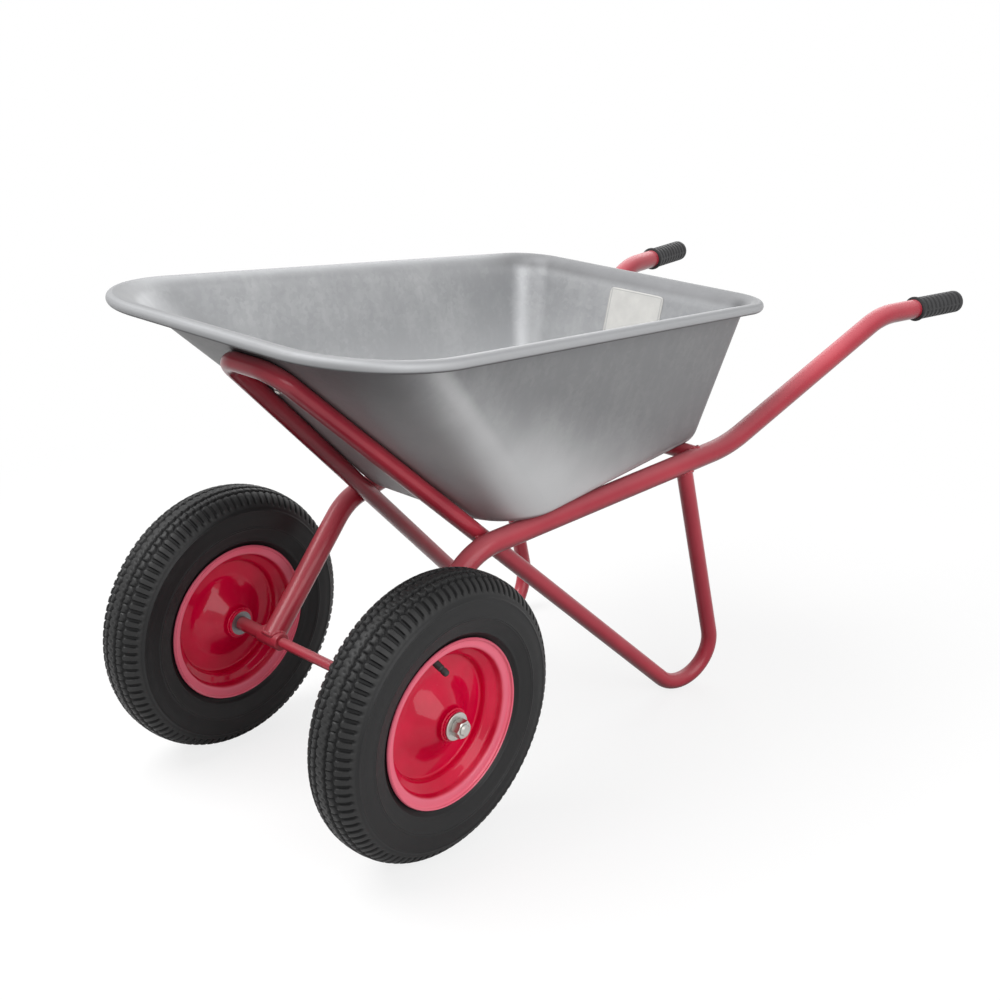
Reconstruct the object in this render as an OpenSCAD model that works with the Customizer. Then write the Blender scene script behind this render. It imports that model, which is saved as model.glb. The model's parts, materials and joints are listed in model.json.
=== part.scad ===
// Two wheel wheelbarrow: bent tube frame, drawn tray with a rolled rim, pneumatic wheels on ball bearings.
// The wheels are at the front (-Y), the grips at the back (+Y), +X is the left hand of the person behind it.
// The origin lies on the ground, under the middle of the whole outline.

/* [Wheels] */
// Outside diameter of the tyres
tyre_d = 390; // [370:1:400]
// Width of a tyre over its sidewalls
tyre_w = 90; // [84:1:96]
// Distance between the middles of the two wheels
track_w = 424; // [410:1:450]
// Diameter of the bead seat of the rims
bead_d = 203; // [196:0.5:206]
// Height of the rim flange above its bead seat
flange_h = 14; // [11:0.5:16]
// Width of a rim between its flanges
rim_w = 59; // [55:0.5:62]
// Thickness of the pressed rim steel
rim_t = 2; // [1.5:0.1:2.5]
// Diameter of the drop centre of the rim
well_d = 174; // [166:1:180]
// Number of lugs round each shoulder of a tyre
lug_n = 96; // [60:1:108]
// Width of the slots between the lugs
lug_slot_w = 4.5; // [2.5:0.5:6]
// Depth of the slots between the lugs
lug_slot_depth = 3.5; // [2:0.5:5]
// Width of the grooves that run round the tread
tread_groove_w = 4; // [2.5:0.5:5]
// Depth of the grooves that run round the tread
tread_groove_depth = 4; // [2:0.5:5]

/* [Hubs and axle] */
// Diameter of the axle, a push fit in its bearings
axle_d = 15; // [14:0.1:16]
// Length of a hub sleeve
hub_l = 78; // [72:1:84]
// Outside diameter of a hub sleeve
hub_od = 41; // [39:0.5:46]
// Outside diameter of a bearing
bearing_od = 35; // [34:0.5:36]
// Width of a bearing
bearing_w = 11; // [10:0.5:13]
// Number of balls in a bearing
ball_n = 8; // [7:1:9]
// Outside diameter of the bosses that join the axle to the frame
boss_od = 25; // [22:0.5:28]
// Length of a boss
boss_l = 42; // [36:1:48]
// Outside diameter of the spacers on the axle
spacer_od = 20; // [19:0.5:22]
// Outside diameter of the axle washers
axle_washer_od = 38; // [30:1:40]
// Thickness of the axle washers
axle_washer_t = 2.5; // [2:0.5:4]
// Width of the axle nuts across their flats
axle_nut_af = 22; // [20:1:24]
// Height of the axle nuts
axle_nut_h = 13; // [10:1:15]

/* [Handle tubes] */
// Outside diameter of the handle tubes
handle_od = 32; // [28:0.5:34]
// Wall of the handle tubes
handle_wall = 1.8; // [1.2:0.1:3]
// Distance between the handle tubes at the axle
handle_axle_gap = 210; // [200:1:220]
// Distance between the grip ends
handle_grip_gap = 583; // [540:1:620]
// Distance from the axle back to the grip ends
handle_reach = 1205; // [1150:1:1280]
// Distance from the axle back to the front bend
front_bend_y = 165; // [155:1:175]
// Height of the front bend
front_bend_z = 352; // [346:1:358]
// Distance from the axle back to the rear bend
rear_bend_y = 650; // [630:1:680]
// Height of the rear bend
rear_bend_z = 406; // [400:1:412]
// Distance from the axle back to the bend below the grips
upper_bend_y = 998; // [970:1:1020]
// Height of the bend below the grips
upper_bend_z = 563; // [540:1:590]
// Height of the grips
grip_z = 561; // [540:1:590]
// Radius of the front bend
front_bend_r = 90; // [60:5:120]
// Radius of the rear bend
rear_bend_r = 220; // [120:5:260]
// Radius of the bend below the grips
upper_bend_r = 150; // [80:5:200]

/* [Grips] */
// Length of a grip
grip_l = 118; // [100:1:135]
// Height of the flange at the front of each grip
grip_flange_h = 2; // [2:0.5:5]
// Thickness of the flange at the front of each grip
grip_flange_t = 4; // [3.5:0.5:6]
// Outside diameter of a grip
grip_od = 37; // [35.5:0.5:42]
// Number of grooves round a grip
grip_groove_n = 9; // [5:1:11]
// Depth of the grooves round a grip
grip_groove_depth = 1.2; // [0.5:0.1:1.5]

/* [Leg hoop] */
// Outside diameter of the leg hoop's tube
leg_od = 25; // [22:0.5:28]
// Wall of the leg hoop's tube
leg_wall = 1.5; // [1.2:0.1:2.5]
// Height of the top of the hoop, at its middle line
hoop_z = 635; // [610:1:645]
// Distance between the feet, at the meeting of their straights
foot_gap = 408; // [390:1:430]
// Radius of the bends that stand on the ground
foot_bend_r = 58; // [50:1:64]
// Radius of the two bends at the top of the hoop
hoop_bend_r = 34; // [26:1:38]
// Gap between the tops of the rear legs and the cross tube
leg_gap = 6; // [4:0.5:20]

/* [Tray] */
// Length of the tray over the middle of its rolled rim
tray_l = 866; // [840:1:890]
// Width over the middle of the rolled rim at the front
tray_front_w = 574; // [550:1:600]
// Width over the middle of the rolled rim at the back
tray_rear_w = 486; // [470:1:520]
// Distance from the axle forward to the middle of the front rim
tray_overhang = 178; // [170:1:188]
// Height of the middle of the rim at the front
rim_front_z = 690; // [680:1:700]
// Height of the middle of the rim at the back
rim_rear_z = 627; // [610:1:640]
// Radius of the rim's front corners
rim_front_r = 145; // [100:1:170]
// Radius of the rim's rear corners
rim_rear_r = 66; // [50:1:90]
// Width of the floor at the front
floor_front_w = 328; // [310:1:345]
// Width of the floor at the back
floor_rear_w = 362; // [340:1:380]
// Radius of the floor's front corners
floor_front_r = 92; // [60:1:110]
// Radius of the floor's rear corners
floor_rear_r = 38; // [30:1:60]
// Distance that the floor ends in front of the top of the rear wall
rear_rake = 51; // [40:1:80]
// Distance that the floor starts behind the top of the front wall
front_rake = 359; // [345:1:370]
// Reach of the blend between floor and walls along each of them
floor_blend = 20; // [14:1:28]
// Thickness of the tray's sheet
sheet_t = 1.2; // [0.8:0.1:2]
// Diameter of the rolled rim
roll_d = 15; // [11:0.5:17]
// Width of the lip between the walls and the middle of the rolled rim
lip_w = 18; // [14:0.5:22]

/* [Tray fastening] */
// Outside diameter of the cross tube under the floor
cross_od = 25; // [22:0.5:27]
// Wall of the cross tube
cross_wall = 1.5; // [1.2:0.1:2.5]
// Distance from the rear end of the flat floor forward to the cross tube
cross_inset = 12; // [11:1:40]
// Distance between the two bolts through the cross tube
floor_bolt_gap = 190; // [140:2:240]
// Diameter of the tray bolts
bolt_d = 8; // [6:0.5:8]
// Diameter of the tray bolts' domed heads
bolt_head_d = 18; // [14:0.5:20]
// Height of the tray bolts' domed heads
bolt_head_h = 4.5; // [3:0.5:6]
// Width of the tray nuts across their flats
nut_af = 13; // [10:0.5:14]
// Height of the tray nuts
nut_h = 6.5; // [5:0.5:8]
// Diameter of the tray washers
washer_d = 22; // [18:0.5:24]
// Thickness of the tray washers
washer_t = 1.6; // [1:0.1:2.5]
// Width of the plate across the hoop
plate_w = 32; // [26:1:40]
// Thickness of the plate across the hoop
plate_t = 4; // [3:0.5:6]
// Distance along the slope from the top of the hoop down to the plate's bolt
plate_drop = 62; // [56:1:90]

/* [Hidden] */
// Overrun of every cut past the face that it goes through
over = 1;
// Clearance between pieces that are welded or seated on each other
seat = 0.1;
// Clearance round the axle in its bearings and spacers
axle_fit = 0.05;
// Clearance round bolts in their holes
bolt_fit = 0.4;
// Clearance between the tyre and its rim
tyre_fit = 0.2;
// Clearance between fixed and turning pieces
run_gap = 0.5;
// Clearance of the balls in their races
ball_fit = 0.1;
// Overlap of a tube's straights into its bends, and swell of the tube in the bends
bend_lap = 1;
bend_swell = 0.05;
// Step of the rounded heads and ends, in degrees
arc_step = 15;
$fn = 64;

tyre_r = tyre_d / 2;
bead_r = bead_d / 2;
flange_r = bead_r + flange_h;
well_r = well_d / 2;
wheel_x = track_w / 2;
handle_r = handle_od / 2;
leg_r = leg_od / 2;
cross_r = cross_od / 2;
roll_r = roll_d / 2;
// The grips stand at a slant, so a corner of their ends reaches a little further back than the middle
splay = (handle_grip_gap - handle_axle_gap) / 2 / handle_reach;
grip_end_r = 7;
grip_run = norm([splay, 1]);
grip_swing = (grip_od / 2 - grip_end_r) * splay / grip_run;
// The axle lies at this place along Y, so that the outline is centred
axle_y = (tyre_r - handle_reach - grip_swing) / 2;
axle_z = tyre_r;

// Handle tubes: place across the part and height at a distance y behind the axle
function handle_x(y) = handle_axle_gap / 2 + splay * y;
handle_rise = (rear_bend_z - front_bend_z) / (rear_bend_y - front_bend_y);
function handle_z(y) = front_bend_z + handle_rise * (y - front_bend_y);
grip_end_t = 5;
tube_end_y = handle_reach - grip_end_t / grip_run;
handle_side = [
    [0, axle_z],
    [front_bend_y, front_bend_z],
    [rear_bend_y, rear_bend_z],
    [upper_bend_y, upper_bend_z],
    [tube_end_y, grip_z]
];
handle_path = [for (p = handle_side) [handle_x(p[0]), axle_y + p[0], p[1]]];
handle_bends = [0, front_bend_r, rear_bend_r, upper_bend_r, 0];

// Tray: the floor lies on the handle tubes and slopes as they do, the front wall lies on the leg hoop
floor_lift = (handle_r + seat) * norm([1, handle_rise]);
function floor_z(y) = handle_z(y - axle_y) + floor_lift;
floor_tilt = atan(handle_rise);
floor_t = sheet_t * norm([1, handle_rise]);
wall_top_drop = roll_r - sheet_t;
tray_front_y = axle_y - tray_overhang;
tray_rear_y = tray_front_y + tray_l;
wall_front_y = tray_front_y + lip_w;
wall_rear_y = tray_rear_y - lip_w;
floor_front_y = wall_front_y + front_rake;
floor_rear_y = wall_rear_y - rear_rake;
wall_front_z = rim_front_z + wall_top_drop;
wall_rear_z = rim_rear_z + wall_top_drop;
floor_front_z = floor_z(floor_front_y);
front_slope = atan2(wall_front_z - floor_front_z, front_rake);
cross_y = floor_rear_y - axle_y - floor_blend - cross_inset;

// Leg hoop: its front straights lie against the front wall
leg_off = (leg_r + seat) / cos(front_slope);
leg_fall = tan(front_slope);
function diagonal_z(y) = floor_front_z - (y - floor_front_y) * leg_fall - leg_off;
function diagonal_y(z) = floor_front_y + (floor_front_z - leg_off - z) / leg_fall;
hoop_y = diagonal_y(hoop_z);
// The diagonals cross the handle tubes here, and touch their inner sides
meet_y = axle_y + front_bend_y
    + (diagonal_z(axle_y + front_bend_y) - front_bend_z) / (leg_fall + handle_rise);
meet_normal = cross([splay, 1, -leg_fall], [splay, 1, handle_rise]);
meet_gap = (handle_r + leg_r + seat) * norm(meet_normal) / meet_normal[0];
meet_x = handle_x(meet_y - axle_y) - meet_gap;
foot_x = foot_gap / 2;
// The rear legs end on the handle tubes, in front of the cross tube
leg_top_y = cross_y - cross_r - leg_gap - leg_r;
leg_upper = [handle_x(leg_top_y), axle_y + leg_top_y, handle_z(leg_top_y)];

function unit(v) = v / norm(v);
function leg_splay(y) = (foot_x - meet_x) / (y - meet_y);
// Corner of the straights below the foot, moved until the bend stands on the ground
function foot_corner(z, turns) =
    let (corner = [foot_x, diagonal_y(z), z])
    let (up_front = unit([-leg_splay(corner[1]), -1, leg_fall]))
    let (up_rear = unit(leg_upper - corner))
    let (half = acos(up_front * up_rear) / 2)
    let (normal = unit(cross(up_front, up_rear)))
    let (middle = unit(up_front + up_rear)[2] * foot_bend_r / sin(half))
    let (lowest = leg_r + bend_swell + foot_bend_r * sqrt(1 - normal[2] * normal[2]) - middle)
    turns == 0 ? corner : foot_corner(lowest, turns - 1);
foot_turns = 12;
foot = foot_corner(0, foot_turns);
hoop_x = foot_x - leg_splay(foot[1]) * (foot[1] - hoop_y);
hoop_corner = [hoop_x, hoop_y, hoop_z];
function flip(p) = [-p[0], p[1], p[2]];
leg_path = [leg_upper, foot, hoop_corner, flip(hoop_corner), flip(foot), flip(leg_upper)];
leg_bends = [0, foot_bend_r, hoop_bend_r, hoop_bend_r, foot_bend_r, 0];

// Axle: what is strung on it, outward from the middle
boss_x = handle_axle_gap / 2;
boss_end_x = boss_x + boss_l / 2;
hub_in_x = wheel_x - hub_l / 2;
hub_out_x = wheel_x + hub_l / 2;
ring_in_x = hub_in_x - run_gap;
ring_out_x = hub_out_x + run_gap;
washer_end_x = ring_out_x + axle_washer_t;
nut_end_x = washer_end_x + axle_nut_h;
axle_thread_l = 3;
axle_end_x = nut_end_x + axle_thread_l;
axle_chamfer = 1;
race_depth_share = 0.3;
ball_circle_d = (bearing_od + axle_d) / 2;
ball_d = (bearing_od - axle_d) * race_depth_share;
shoulder_gap_share = 0.7;
inner_ring_od = ball_circle_d - ball_d * shoulder_gap_share;
outer_ring_id = ball_circle_d + ball_d * shoulder_gap_share;
shield_t = 0.8;
shield_gap = 0.4;
press_fit = 0.02;
bearing_shoulder = 2.5;

// Rims: collar on the hub, cone, drop centre, ramp and flared flange
collar_inset = 4;
collar_l = 8;
cone_d = 112;
well_half = 12;
well_ramp = 8;
flare = 3.5;
rim_ease = 4;

// Valves: stem through the ramp of the rim
valve_d = 11;
valve_l = 18;
valve_root = 5;
valve_taper = 2;
valve_tip_d = 7;
valve_cap_d = 9;
valve_cap_l = 9;
// Turn of the valve from the lowest place of the wheel, in degrees
valve_angle = 192;

// Tyres: carcass, beads and tread
side_t = 7.5;
tread_t = 10;
bead_w = 12;
crown_drop = 3;
shoulder_share = 0.68;
groove_floor_share = 0.5;
tread_groove_shares = [0.2, 0.46];
lug_lead = 4;
tube_gap = 0.4;
tube_t = 2.5;

// Grips: plain ends and rounded edges
grip_plain_l = 9;
grip_groove_share = 0.5;
grip_round = 1.5;

// Colours of the finishes
frame_red = [0.72, 0.13, 0.19];
rim_red = [0.76, 0.05, 0.14];
galvanised = [0.62, 0.63, 0.65];
zinc = [0.74, 0.75, 0.77];
steel = [0.6, 0.61, 0.63];
rubber = [0.12, 0.12, 0.12];
grip_black = [0.08, 0.08, 0.09];

// Length that a bend takes from each of the two straights at corner i of a path
function setback(path, radii, i) =
    radii[i] == 0 ? 0 :
    let (back = unit(path[i - 1] - path[i]))
    let (on = unit(path[i + 1] - path[i]))
    radii[i] / tan(acos(back * on) / 2);

// The straight after corner i, then the bend at its far end, then the rest of the path.
// across is the direction of the local X axis. The straights reach into the bends, which are a touch thicker.
module rod_from(path, radii, r, i, across) {
    run = path[i + 1] - path[i];
    along = unit(run);
    straight = norm(run) - setback(path, radii, i) - setback(path, radii, i + 1);
    lap_in = i > 0 ? bend_lap : 0;
    lap_out = i + 2 < len(path) ? bend_lap : 0;
    translate([0, 0, -lap_in]) cylinder(h = lap_in + straight + lap_out, r = r);
    if (i + 2 < len(path)) {
        next = unit(path[i + 2] - path[i + 1]);
        toward = unit(next - (next * along) * along);
        turn = atan2(toward * cross(along, across), toward * across);
        angle = acos(next * along);
        bend = radii[i + 1];
        translate([0, 0, straight]) rotate([0, 0, turn]) {
            translate([bend, 0, 0]) rotate([90, 0, 180])
                rotate_extrude(angle = angle) translate([bend, 0]) circle(r = r + bend_swell);
            translate([bend, 0, 0]) rotate([0, angle, 0]) translate([-bend, 0, 0])
                rod_from(path, radii, r, i + 1, toward * cos(angle) - along * sin(angle));
        }
    }
}

// Turns the Z axis into a direction, and moves it to a point
module stand_at(point, along) {
    translate(point) rotate([0, acos(along[2]), atan2(along[1], along[0])]) children();
}

// A round rod along a path of straights, bent at its corners
module bent_rod(path, radii, r) {
    along = unit(path[1] - path[0]);
    tilt = acos(along[2]);
    turn = atan2(along[1], along[0]);
    stand_at(path[0], along)
        rod_from(path, radii, r, 0, [cos(tilt) * cos(turn), cos(tilt) * sin(turn), -sin(tilt)]);
}

// The same path with its two ends moved out by the overrun
function longer(path) =
    let (last = len(path) - 1)
    [for (i = [0 : last])
        i == 0 ? path[0] + over * unit(path[0] - path[1]) :
        i == last ? path[last] + over * unit(path[last] - path[last - 1]) : path[i]];

// A straight rod between two points
module rod(from, to, r) {
    stand_at(from, unit(to - from)) cylinder(h = norm(to - from), r = r);
}

// A ring of square section round the X axis, between two places on it
module ring_x(from, to, inner, outer) {
    translate([from, axle_y, axle_z]) rotate([0, 90, 0]) difference() {
        cylinder(h = to - from, r = outer);
        translate([0, 0, -over]) cylinder(h = to - from + 2 * over, r = inner);
    }
}

// The two mirrored sides of the part
module both_sides() {
    children();
    mirror([1, 0, 0]) children();
}

// Stretch of a left handle tube's middle line round a place y, for the pieces that are cut to fit it
module handle_cut(y, reach) {
    ends = [for (s = [y - reach, y + reach]) [handle_x(s), axle_y + s, handle_z(s)]];
    rod(ends[0], ends[1], handle_r + seat);
}

module handle_tube() {
    color(frame_red) difference() {
        bent_rod(handle_path, handle_bends, handle_r);
        bent_rod(longer(handle_path), handle_bends, handle_r - handle_wall);
        ring_x(boss_x - boss_l, boss_x + boss_l, 0, boss_od / 2 + seat);
    }
}

module leg_hoop() {
    color(frame_red) difference() {
        bent_rod(leg_path, leg_bends, leg_r);
        bent_rod(longer(leg_path), leg_bends, leg_r - leg_wall);
        both_sides() handle_cut(leg_upper[1] - axle_y, handle_od);
    }
}

// Local frame of the front slope: X across, Y down the slope, Z up to the tray's front wall
module on_slope() {
    translate([0, hoop_y, hoop_z]) rotate([-front_slope, 0, 0]) children();
}

// Half width between the diagonals, at a depth below the tray's wall, y down the slope
leg_spread = leg_splay(foot[1]) * cos(front_slope);
plate_chord = sqrt(leg_r * leg_r - pow(leg_r - plate_t, 2));
function plate_x(y) = hoop_x + leg_spread * y - (plate_chord + seat) * norm([1, leg_spread]);

module hoop_plate() {
    upper = plate_drop - plate_w / 2;
    lower = plate_drop + plate_w / 2;
    color(frame_red) on_slope() difference() {
        translate([0, 0, leg_r - plate_t]) linear_extrude(plate_t) polygon([
            [plate_x(upper), upper], [plate_x(lower), lower],
            [-plate_x(lower), lower], [-plate_x(upper), upper]
        ]);
        translate([0, plate_drop, leg_r - plate_t - over])
            cylinder(h = plate_t + 2 * over, d = bolt_d + bolt_fit);
    }
}

// Local frame of the floor over the cross tube: X across, Z up from the underside of the floor
module on_floor() {
    translate([0, axle_y + cross_y, floor_z(axle_y + cross_y)]) rotate([floor_tilt, 0, 0]) children();
}

module at_floor_bolts() {
    on_floor() for (side = [-1, 1]) translate([side * floor_bolt_gap / 2, 0, 0]) children();
}

// The cross tube ends in a saddle over the inner half of each handle tube
module cross_tube() {
    half = handle_x(cross_y) - handle_r / 2;
    z = -cross_r - seat;
    color(frame_red) difference() {
        on_floor() rod([-half, 0, z], [half, 0, z], cross_r);
        on_floor() rod([-half - over, 0, z], [half + over, 0, z], cross_r - cross_wall);
        both_sides() handle_cut(cross_y, handle_od);
        at_floor_bolts() translate([0, 0, -2 * cross_od]) cylinder(h = 3 * cross_od, d = bolt_d + bolt_fit);
    }
}

// Tray outline at one level: points [x, y, direction outward] all the way round
corner_steps = 10;
side_steps = 6;
function corner_arc(c, r, from, to) = [
    for (i = [0 : corner_steps])
        let (a = from + (to - from) * i / corner_steps)
        [c[0] + r * cos(a), c[1] + r * sin(a), a]
];
function between(p, q) = [
    for (i = [1 : side_steps - 1])
        let (s = i / side_steps)
        [p[0] + (q[0] - p[0]) * s, p[1] + (q[1] - p[1]) * s, p[2]]
];
function outline(front_y, rear_y, front_w, rear_w, front_r, rear_r) =
    let (lean = atan2((front_w - rear_w) / 2, rear_y - front_y))
    let (out = cos(lean) * rear_w / 2 + sin(lean) * rear_y)
    let (rear_c = [(out - rear_r - sin(lean) * (rear_y - rear_r)) / cos(lean), rear_y - rear_r])
    let (front_c = [(out - front_r - sin(lean) * (front_y + front_r)) / cos(lean), front_y + front_r])
    let (rear_left = corner_arc(rear_c, rear_r, lean, 90))
    let (rear_right = corner_arc([-rear_c[0], rear_c[1]], rear_r, 90, 180 - lean))
    let (front_right = corner_arc([-front_c[0], front_c[1]], front_r, 180 - lean, 270))
    let (front_left = corner_arc(front_c, front_r, 270, 360 + lean))
    concat(rear_left, rear_right, between(rear_right[corner_steps], front_right[0]),
        front_right, front_left, between(front_left[corner_steps], rear_left[0]));

floor_outline = outline(floor_front_y, floor_rear_y, floor_front_w, floor_rear_w,
    floor_front_r, floor_rear_r);
wall_outline = outline(wall_front_y, wall_rear_y, tray_front_w - 2 * lip_w, tray_rear_w - 2 * lip_w,
    rim_front_r - lip_w, rim_rear_r - lip_w);
function wall_z(y) = wall_front_z
    + (wall_rear_z - wall_front_z) * (y - wall_front_y) / (wall_rear_y - wall_front_y);
function outward(p) = [cos(p[2]), sin(p[2]), 0];
function along_floor(p) = [cos(p[2]), sin(p[2]), handle_rise * sin(p[2])];

// Outer face of the tray from the floor up one wall: a flat floor edge, a blend, then the wall
blend_steps = 4;
wall_steps = 3;
function wall_column(i) =
    let (foot_p = [floor_outline[i][0], floor_outline[i][1], floor_z(floor_outline[i][1])])
    let (top_p = [wall_outline[i][0], wall_outline[i][1], wall_z(wall_outline[i][1])])
    let (up = unit(top_p - foot_p))
    let (start = foot_p + floor_blend * up)
    concat(
        [for (k = [0 : blend_steps])
            let (s = k / blend_steps)
            foot_p + floor_blend * (s * s * up - (1 - s) * (1 - s) * along_floor(floor_outline[i]))],
        [for (k = [1 : wall_steps]) start + (top_p - start) * k / wall_steps]);
wall_n = len(floor_outline);
wall_columns = [for (i = [0 : wall_n - 1]) wall_column(i)];
column_n = len(wall_columns[0]);

// Inner face: the outer one moved in by the sheet's thickness
function inner_point(i, k) =
    let (here = wall_columns[i])
    let (around = wall_columns[(i + 1) % wall_n][k] - wall_columns[(i + wall_n - 1) % wall_n][k])
    let (rise = here[min(k + 1, column_n - 1)] - here[max(k - 1, 0)])
    k == 0 ? here[0] + [0, 0, floor_t] : here[k] - sheet_t * unit(cross(around, rise));

// Lip and rolled rim, as [outward, up] from the top of a wall's outer face
roll_steps = 12;
lip_bend_share = 0.3;
// Turn of the roll, until it meets the lip from below
roll_turn = 270 + asin((roll_r - sheet_t) / roll_r);
rim_section = concat(
    [[lip_w * lip_bend_share, sheet_t]],
    [for (k = [0 : roll_steps])
        let (a = 90 - roll_turn * k / roll_steps)
        [lip_w + roll_r * cos(a), sheet_t - roll_r + roll_r * sin(a)]],
    [[lip_w * lip_bend_share, 0]]);
function rim_point(i, p) = wall_columns[i][column_n - 1] + p[0] * outward(wall_outline[i]) + [0, 0, p[1]];

// One section of the sheet: up the inside, round the rim, down the outside
function sheet_section(i) = concat(
    [for (k = [0 : column_n - 1]) inner_point(i, k)],
    [for (p = rim_section) rim_point(i, p)],
    [for (k = [column_n - 1 : -1 : 0]) wall_columns[i][k]]);

module tray_sheet() {
    sections = [for (i = [0 : wall_n - 1]) sheet_section(i)];
    n = len(sections[0]);
    middle_y = (floor_front_y + floor_rear_y) / 2;
    points = concat([for (s = sections) each s],
        [[0, middle_y, floor_z(middle_y) + floor_t], [0, middle_y, floor_z(middle_y)]]);
    top = wall_n * n;
    faces = concat(
        [for (i = [0 : wall_n - 1])
            let (a = i * n)
            let (b = (i + 1) % wall_n * n)
            for (j = [0 : n - 2]) each [[a + j, b + j, b + j + 1], [a + j, b + j + 1, a + j + 1]]],
        [for (i = [0 : wall_n - 1])
            let (a = i * n)
            let (b = (i + 1) % wall_n * n)
            each [[top, b, a], [a + n - 1, b + n - 1, top + 1]]]);
    polyhedron(points, faces);
}

module tray() {
    color(galvanised) difference() {
        tray_sheet();
        on_slope() translate([0, plate_drop, leg_r + seat - bolt_d])
            cylinder(h = 2 * bolt_d, d = bolt_d + bolt_fit);
        at_floor_bolts() translate([0, 0, -bolt_d]) cylinder(h = 2 * bolt_d, d = bolt_d + bolt_fit);
    }
}

// A domed bolt standing head up on z = 0, with a shank of the given length below
module domed_bolt(shank) {
    rotate_extrude() polygon(concat(
        [[0, -shank], [bolt_d / 2, -shank], [bolt_d / 2, 0], [bolt_head_d / 2, 0]],
        [for (a = [arc_step : arc_step : 90]) [bolt_head_d / 2 * cos(a), bolt_head_h * sin(a)]]));
}

module hex_nut(af, h, bore) {
    difference() {
        cylinder(h = h, d = af / cos(30), $fn = 6);
        translate([0, 0, -over]) cylinder(h = h + 2 * over, d = bore);
    }
}

module flat_washer(d, t, bore) {
    difference() {
        cylinder(h = t, d = d);
        translate([0, 0, -over]) cylinder(h = t + 2 * over, d = bore);
    }
}

bolt_tail = 3;
plate_under = leg_r - plate_t;
cross_under = -cross_od - 2 * seat;

module tray_bolts() {
    color(zinc) {
        on_slope() translate([0, plate_drop, leg_r + sheet_t + 2 * seat])
            domed_bolt(sheet_t + plate_t + 2 * seat + washer_t + nut_h + bolt_tail);
        at_floor_bolts() translate([0, 0, sheet_t + seat])
            domed_bolt(sheet_t + cross_od + 3 * seat + washer_t + nut_h + bolt_tail);
    }
}

module tray_washers() {
    color(zinc) {
        on_slope() translate([0, plate_drop, plate_under - washer_t])
            flat_washer(washer_d, washer_t, bolt_d + bolt_fit);
        at_floor_bolts() translate([0, 0, cross_under - washer_t])
            flat_washer(washer_d, washer_t, bolt_d + bolt_fit);
    }
}

module tray_nuts() {
    color(zinc) {
        on_slope() translate([0, plate_drop, plate_under - washer_t - nut_h])
            hex_nut(nut_af, nut_h, bolt_d + 2 * seat);
        at_floor_bolts() translate([0, 0, cross_under - washer_t - nut_h])
            hex_nut(nut_af, nut_h, bolt_d + 2 * seat);
    }
}

axle_r = axle_d / 2;

module axle() {
    color(frame_red) translate([0, axle_y, axle_z]) rotate([0, 90, 0]) rotate_extrude() polygon([
        [0, -axle_end_x], [axle_r - axle_chamfer, -axle_end_x], [axle_r, axle_chamfer - axle_end_x],
        [axle_r, axle_end_x - axle_chamfer], [axle_r - axle_chamfer, axle_end_x], [0, axle_end_x]
    ]);
}

module axle_bosses() {
    color(frame_red) both_sides() ring_x(boss_x - boss_l / 2, boss_end_x, axle_r + axle_fit, boss_od / 2);
}

module axle_spacers() {
    color(frame_red) both_sides() ring_x(boss_end_x, ring_in_x, axle_r + axle_fit, spacer_od / 2);
}

module hub_spacers() {
    color(steel) both_sides()
        ring_x(hub_in_x + bearing_w, hub_out_x - bearing_w, axle_r + axle_fit, spacer_od / 2);
}

module axle_washers() {
    color(zinc) both_sides() ring_x(ring_out_x, washer_end_x, axle_r + axle_fit, axle_washer_od / 2);
}

module axle_nuts() {
    color(zinc) both_sides() translate([washer_end_x, axle_y, axle_z]) rotate([0, 90, 0])
        hex_nut(axle_nut_af, axle_nut_h, axle_d + 2 * axle_fit);
}

// The ball track, as a cut in the section of a bearing ring
module ball_track() {
    translate([ball_circle_d / 2, bearing_w / 2]) circle(d = ball_d + 2 * ball_fit);
}

// Inner ring on the axle: it stands out of the hub by the running gap
module inner_ring() {
    inner = axle_r + axle_fit;
    rotate_extrude() difference() {
        translate([inner, -run_gap]) square([inner_ring_od / 2 - inner, bearing_w + run_gap]);
        ball_track();
    }
}

// Outer ring with a thin shield at each face
module outer_ring() {
    outer = bearing_od / 2;
    shield_in = inner_ring_od / 2 + shield_gap;
    rotate_extrude() difference() {
        union() {
            translate([outer_ring_id / 2, 0]) square([outer - outer_ring_id / 2, bearing_w]);
            for (z = [0, bearing_w - shield_t])
                translate([shield_in, z]) square([outer - shield_in, shield_t]);
        }
        ball_track();
    }
}

// The two bearings of the left hub, their outside faces turned outward
module at_bearings() {
    translate([hub_in_x, axle_y, axle_z]) rotate([0, 90, 0]) children();
    translate([hub_out_x, axle_y, axle_z]) rotate([0, -90, 0]) children();
}

module bearing_inner_rings() {
    color(steel) both_sides() at_bearings() inner_ring();
}

module bearing_outer_rings() {
    color(steel) at_bearings() outer_ring();
}

module bearing_balls() {
    color(steel) at_bearings() for (i = [0 : ball_n - 1])
        rotate([0, 0, i * 360 / ball_n]) translate([ball_circle_d / 2, 0, bearing_w / 2]) sphere(d = ball_d);
}

// Left wheel: children lie round the Z axis, with +Z on the outer side of the wheel
module at_wheel() {
    translate([wheel_x, axle_y, axle_z]) rotate([0, 90, 0]) children();
}

module hub_sleeve() {
    seat_r = bearing_od / 2 + press_fit;
    half = hub_l / 2;
    bore = bearing_od / 2 - bearing_shoulder;
    color(rim_red) at_wheel() rotate_extrude() polygon([
        [hub_od / 2, -half], [hub_od / 2, half], [seat_r, half], [seat_r, half - bearing_w],
        [bore, half - bearing_w], [bore, bearing_w - half], [seat_r, bearing_w - half], [seat_r, -half]
    ]);
}

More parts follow.
